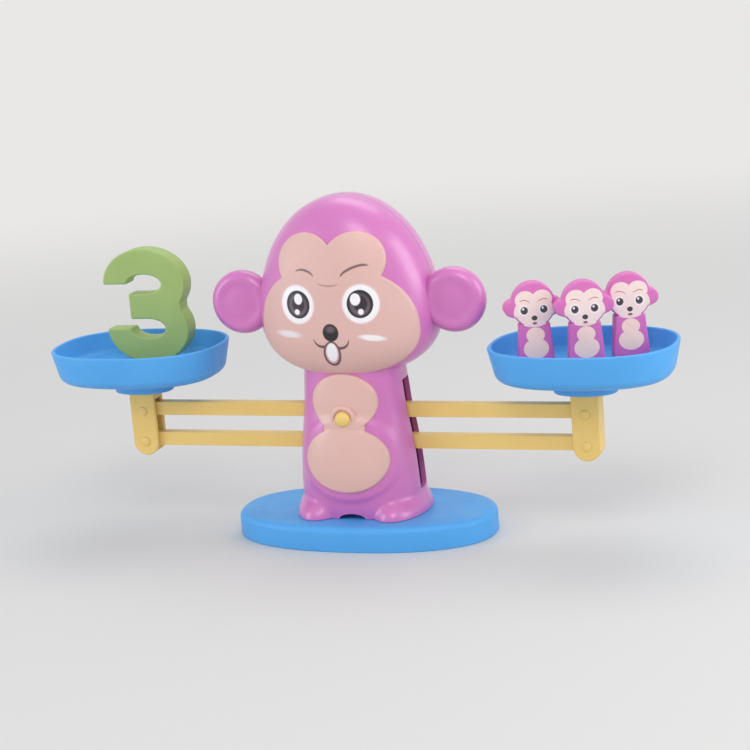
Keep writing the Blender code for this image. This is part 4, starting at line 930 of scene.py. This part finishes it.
def make_pans():
    half_x, half_y = PAN_HALF
    boss_x, boss_y = PAN_BOSS_HALF

    # Rings are drawn in from the rim's and the boss's half sizes
    def ring(draw, z):
        return half_x - draw, half_y - draw, PAN_ROUNDNESS, z

    def boss(draw, z):
        return boss_x - draw, boss_y - draw, PAN_BOSS_ROUNDNESS, z

    rings = [(0, 0, PAN_BOSS_ROUNDNESS, PAN_BOSS_Z)]
    edge, fillet = PAN_EDGE, PAN_BOSS_FILLET
    rings += [boss(edge - edge * s, PAN_BOSS_Z + edge - edge * c) for c, s in arc(5)]
    under = PAN_Z + PAN_FLOOR_RISE
    rings += [boss(-fillet + fillet * c, under - fillet + fillet * s) for c, s in arc(5)]
    rings += [ring(PAN_SKIRT + edge * (1 - s), under - edge * (1 - c)) for c, s in arc(5)]
    lean = PAN_TAPER / PAN_DEPTH
    corner = PAN_CORNER
    for c, s in arc(11, math.degrees(math.asin(PAN_CORNER_START)), 90):
        z = PAN_Z + corner * (1 - c)
        rings.append(ring(PAN_TAPER - lean * (z - PAN_Z) + corner * (1 - s), z))
    top = PAN_Z + PAN_DEPTH
    rim = PAN_WALL / 2
    for c, s in arc(11, 0, 180):
        rings.append(ring(lean * rim + rim * (1 - c), top - rim + rim * s))
    corner = PAN_INNER_CORNER
    floor = under + PAN_WALL
    for c, s in reversed(arc(8)):
        z = floor + corner * (1 - c)
        rings.append(ring(PAN_WALL + PAN_TAPER - lean * (z - PAN_Z) + corner * (1 - s), z))
    rings += [(*PAN_FLOOR_HALF, PAN_ROUNDNESS, floor), (0, 0, PAN_ROUNDNESS, floor)]
    for prefix, side in (("left", -1), ("right", 1)):
        bm = oval_skin(rings, FINE_RING)
        bmesh.ops.translate(bm, verts=bm.verts, vec=(side * ARM, 0, 0))
        piece(f"{prefix}_dish_shell", bm, blue, f"{prefix}_dish", "blue_abs", f"{prefix}_pan", sharp=60)


# Loads

def numeral_outline():
    """Outline of a 3: one bowl, turned over for the other, with hooked ends and a middle bar."""
    half_width, half_height, stroke = NUMERAL_HALF_WIDTH, NUMERAL_HEIGHT / 2, NUMERAL_STROKE
    bowl_rise = (half_height + stroke / 2) / 2
    bowl_z = NUMERAL_HEIGHT - bowl_rise
    upper = [(NUMERAL_BAR_X, half_height + stroke / 2)]
    upper += [((half_width - stroke) * c, bowl_z + (bowl_rise - stroke) * s) for c, s in arc(28, -90, 180)]
    waist = -math.degrees(math.asin((bowl_z - half_height) / bowl_rise)) * NUMERAL_WAIST_SHARE
    upper += [(half_width * c, bowl_z + bowl_rise * s) for c, s in arc(44, 180, waist)]
    lower = [(x, NUMERAL_HEIGHT - z) for x, z in reversed(upper)]
    return [(x, max(z, NUMERAL_FOOT) - NUMERAL_FOOT) for x, z in upper + lower]


def make_numeral():
    """Numeral, as thick as its solid."""
    low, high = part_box("numeral_three")
    half = (high.y - low.y) / 2
    bm = pushed(numeral_outline(), -half, half)
    bmesh.ops.translate(bm, verts=bm.verts, vec=(-ARM + NUMERAL_PLACE[0], NUMERAL_PLACE[1], STAND_Z))
    soft_edges(piece("numeral", bm, green, "numeral", "green_abs", "numeral_three"), NUMERAL_EDGE, 4, 25.0)


def inside_mini(x, z):
    half_width = MINI_FOOT_HALF - MINI_BODY_DRAW * z / MINI_BODY_HEIGHT
    torso = 0 <= z <= MINI_BODY_HEIGHT and abs(x) <= half_width
    return torso or inside_oval(x, z, *MINI_HEAD) or inside_oval(abs(x), z, *MINI_EAR)


def make_minis():
    """Small monkeys in a row that is turned in the dish, the outer two a step further back."""
    outline = star_outline(inside_mini, MINI_MIDDLE, MINI_REACH, MINI_POINTS)
    outline = [(x, max(z, 0.0)) for x, z in outline]
    row = Matrix.Translation((ARM + MINI_ROW_PLACE[0], MINI_ROW_PLACE[1], STAND_Z))
    row = row @ Matrix.Rotation(math.radians(MINI_ROW_TURN_DEG), 4, "Z")
    places = (("first_mini", -1, 1), ("second_mini", 0, 0), ("third_mini", 1, 1))
    for number, (body, along, back) in enumerate(places, 1):
        bm = pushed(outline, -MINI_THICK / 2, MINI_THICK / 2)
        rims = [edge for edge in bm.edges if abs(edge.verts[0].co.y - edge.verts[1].co.y) < MERGE]
        bmesh.ops.bevel(bm, geom=rims, offset=MINI_EDGE, segments=3, affect="EDGES", profile=0.5, material=-1)
        uv = bm.loops.layers.uv.new("print_place")
        for face in bm.faces:
            front = face.calc_center_median().y < -MINI_THICK / 2 + 1e-5
            for loop in face.loops:
                loop[uv].uv = (loop.vert.co.x, loop.vert.co.z) if front else (-1, -1)
        place = row @ Matrix.Translation((along * MINI_SPACING, back * MINI_STEP_BACK, 0))
        bmesh.ops.transform(bm, matrix=place, verts=bm.verts)
        piece(f"small_monkey_{number}", bm, mini_pink, body, "pink_abs", f"mini_monkey_{number}", sharp=40)


# Screws

def make_screw(name, node, place, axis, seat, tip):
    """Pan head screw with a cross recess; seat and tip are distances along the axis, out of its head."""
    dome = [(SCREW_HEAD_RADIUS * c ** SCREW_HEAD_FULLNESS, seat + SCREW_HEAD_WALL + SCREW_HEAD_DOME * s)
            for c, s in arc(7)]
    profile = [(0, tip), (SCREW_POINT_RADIUS, tip), (SCREW_RADIUS, tip + SCREW_POINT_LENGTH),
               (SCREW_RADIUS, seat), (SCREW_HEAD_RADIUS, seat)]
    profile += dome[:-1] + [(0, seat + SCREW_HEAD_WALL + SCREW_HEAD_DOME)]
    bm = turned(profile, place, axis, PIN_TURNED)
    spin = Vector(axis).to_track_quat("Z", "Y").to_matrix().to_4x4()
    cuts = []
    for half_x, half_y in (CROSS_HALF, CROSS_HALF[::-1]):
        bar = box((-half_x, -half_y, seat + CROSS_FLOOR), (half_x, half_y, seat + CROSS_TOP))
        bmesh.ops.transform(bar, matrix=Matrix.Translation(place) @ spin, verts=bar.verts)
        cuts.append(("DIFFERENCE", bar))
    piece(name, combined(bm, *cuts), steel, "stand", "zinc_steel", node, sharp=30)


def make_screws():
    for prefix, screws in (("body_screw", BODY_SCREWS), ("head_screw", HEAD_SCREWS)):
        for number, (x, z) in enumerate(both_sides(screws), 1):
            make_screw(f"{prefix}_with_cross_{number}", f"{prefix}_{number}", (x, 0, z), (0, 1, 0),
                       *BACK_SCREW_REACH)
    for number, (x, y) in enumerate(BASE_SCREWS, 1):
        make_screw(f"base_screw_with_cross_{number}", f"base_screw_{number}", (x, y, 0), (0, 0, -1),
                   *BASE_SCREW_REACH)


make_base()
make_body()
make_head()
make_ears()
make_knob(make_plates())
make_beams()
make_posts()
make_pans()
make_numeral()
make_minis()
make_screws()
# The lower beam's pin is hidden and stays as its CAD node
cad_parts["lower_pivot_pin"].data.materials[0] = steel


# Floor, lights and camera

BACKGROUND = linear("#E9E8E6")


def seen_by_eye(tree):
    """1 for what the camera sees, straight or in a shiny or clear surface, and 0 for light on the toy."""
    light_path = add_node(tree, "ShaderNodeLightPath")
    seen = light_path.outputs["Is Camera Ray"]
    for name in ("Is Glossy Ray", "Is Transmission Ray"):
        either = add_node(tree, "ShaderNodeMath", {0: seen, 1: light_path.outputs[name]}, operation="MAXIMUM")
        seen = either.outputs[0]
    return seen


def make_floor():
    """Pale floor that fades into the background from 0.3 to 1.4 m out."""
    made = bpy.data.materials.new("pale floor")
    made.use_nodes = True
    tree = made.node_tree
    shader = tree.nodes["Principled BSDF"]
    shader.inputs["Base Color"].default_value = linear("#D3D2D0")
    shader.inputs["Roughness"].default_value = 0.7
    place = add_node(tree, "ShaderNodeTexCoord").outputs["Object"]
    reach = add_node(tree, "ShaderNodeVectorMath", {0: place}, operation="LENGTH")
    far = add_node(tree, "ShaderNodeMapRange", {"Value": reach.outputs["Value"], "From Min": 0.3,
                                                "From Max": 1.4}, interpolation_type="SMOOTHSTEP")
    share = add_node(tree, "ShaderNodeMath", {0: seen_by_eye(tree), 1: far.outputs["Result"]},
                     operation="MULTIPLY")
    glow = add_node(tree, "ShaderNodeEmission", {"Color": BACKGROUND, "Strength": 1.0})
    mixed = add_node(tree, "ShaderNodeMixShader", {0: share.outputs[0], 1: shader.outputs[0],
                                                   2: glow.outputs[0]})
    tree.links.new(mixed.outputs[0], tree.nodes["Material Output"].inputs["Surface"])
    bm = bmesh.new()
    bmesh.ops.create_grid(bm, x_segments=4, y_segments=4, size=6.0)
    mesh = bpy.data.meshes.new("floor")
    bm.to_mesh(mesh)
    bm.free()
    mesh.materials.append(made)
    floor = bpy.data.objects.new("floor", mesh)
    bpy.context.scene.collection.objects.link(floor)


def make_world():
    """Soft even room light, and the floor's far colour behind everything."""
    world = bpy.data.worlds.new("studio")
    bpy.context.scene.world = world
    world.use_nodes = True
    tree = world.node_tree
    tree.nodes.clear()
    room = add_node(tree, "ShaderNodeBackground", {"Color": linear("#F4F6FA"), "Strength": 0.71})
    behind = add_node(tree, "ShaderNodeBackground", {"Color": BACKGROUND, "Strength": 1.0})
    mixed = add_node(tree, "ShaderNodeMixShader", {0: seen_by_eye(tree), 1: room.outputs[0],
                                                   2: behind.outputs[0]})
    out = add_node(tree, "ShaderNodeOutputWorld")
    tree.links.new(mixed.outputs[0], out.inputs["Surface"])


def add_softbox(name, place, aim, size, power, colour):
    light = bpy.data.lights.new(name, "AREA")
    light.shape = "RECTANGLE"
    light.size, light.size_y = size
    light.energy = power
    light.color = linear(colour)[:3]
    made = bpy.data.objects.new(name, light)
    made.location = place
    made.rotation_euler = (Vector(aim) - Vector(place)).to_track_quat("-Z", "Y").to_euler()
    bpy.context.scene.collection.objects.link(made)


def make_camera():
    """Camera a little above the toy and to its right, near the best fit to the photograph."""
    azimuth, elevation, roll = math.radians(20), math.radians(13.5), math.radians(-4.8)
    distance, aim_z, aim_right, aim_down = 1.1, 0.09, 0.0105, 0.0022
    back = Vector((math.sin(azimuth) * math.cos(elevation), -math.cos(azimuth) * math.cos(elevation),
                   math.sin(elevation)))
    right = Vector((math.cos(azimuth), math.sin(azimuth), 0))
    up = back.cross(right)
    right, up = (math.cos(roll) * right + math.sin(roll) * up, math.cos(roll) * up - math.sin(roll) * right)
    camera = bpy.data.cameras.new("camera")
    camera.sensor_width = 36
    camera.lens = 97.6
    made = bpy.data.objects.new("camera", camera)
    target = Vector((0, 0, aim_z)) + right * aim_right - up * aim_down
    turn = Matrix((right, up, back)).transposed().to_4x4()
    made.matrix_world = Matrix.Translation(target + back * distance) @ turn
    bpy.context.scene.collection.objects.link(made)
    bpy.context.scene.camera = made


make_floor()
make_world()
add_softbox("key softbox", (0.35, -1.05, 1.15), (0, 0, 0.1), (0.6, 0.6), 4.9, "#FFFDFA")
add_softbox("fill softbox", (-1.0, -0.7, 0.42), (0, 0, 0.08), (0.5, 0.75), 4.0, "#F4F8FF")
add_softbox("top softbox", (0.0, 0.5, 1.1), (0, 0, 0.05), (0.8, 0.5), 2.6, "#FFFFFF")
add_softbox("side softbox", (1.0, -0.1, 0.5), (0, 0, 0.12), (0.55, 0.75), 4.5, "#FFFFFF")
make_camera()
bpy.context.scene.view_settings.view_transform = "Standard"
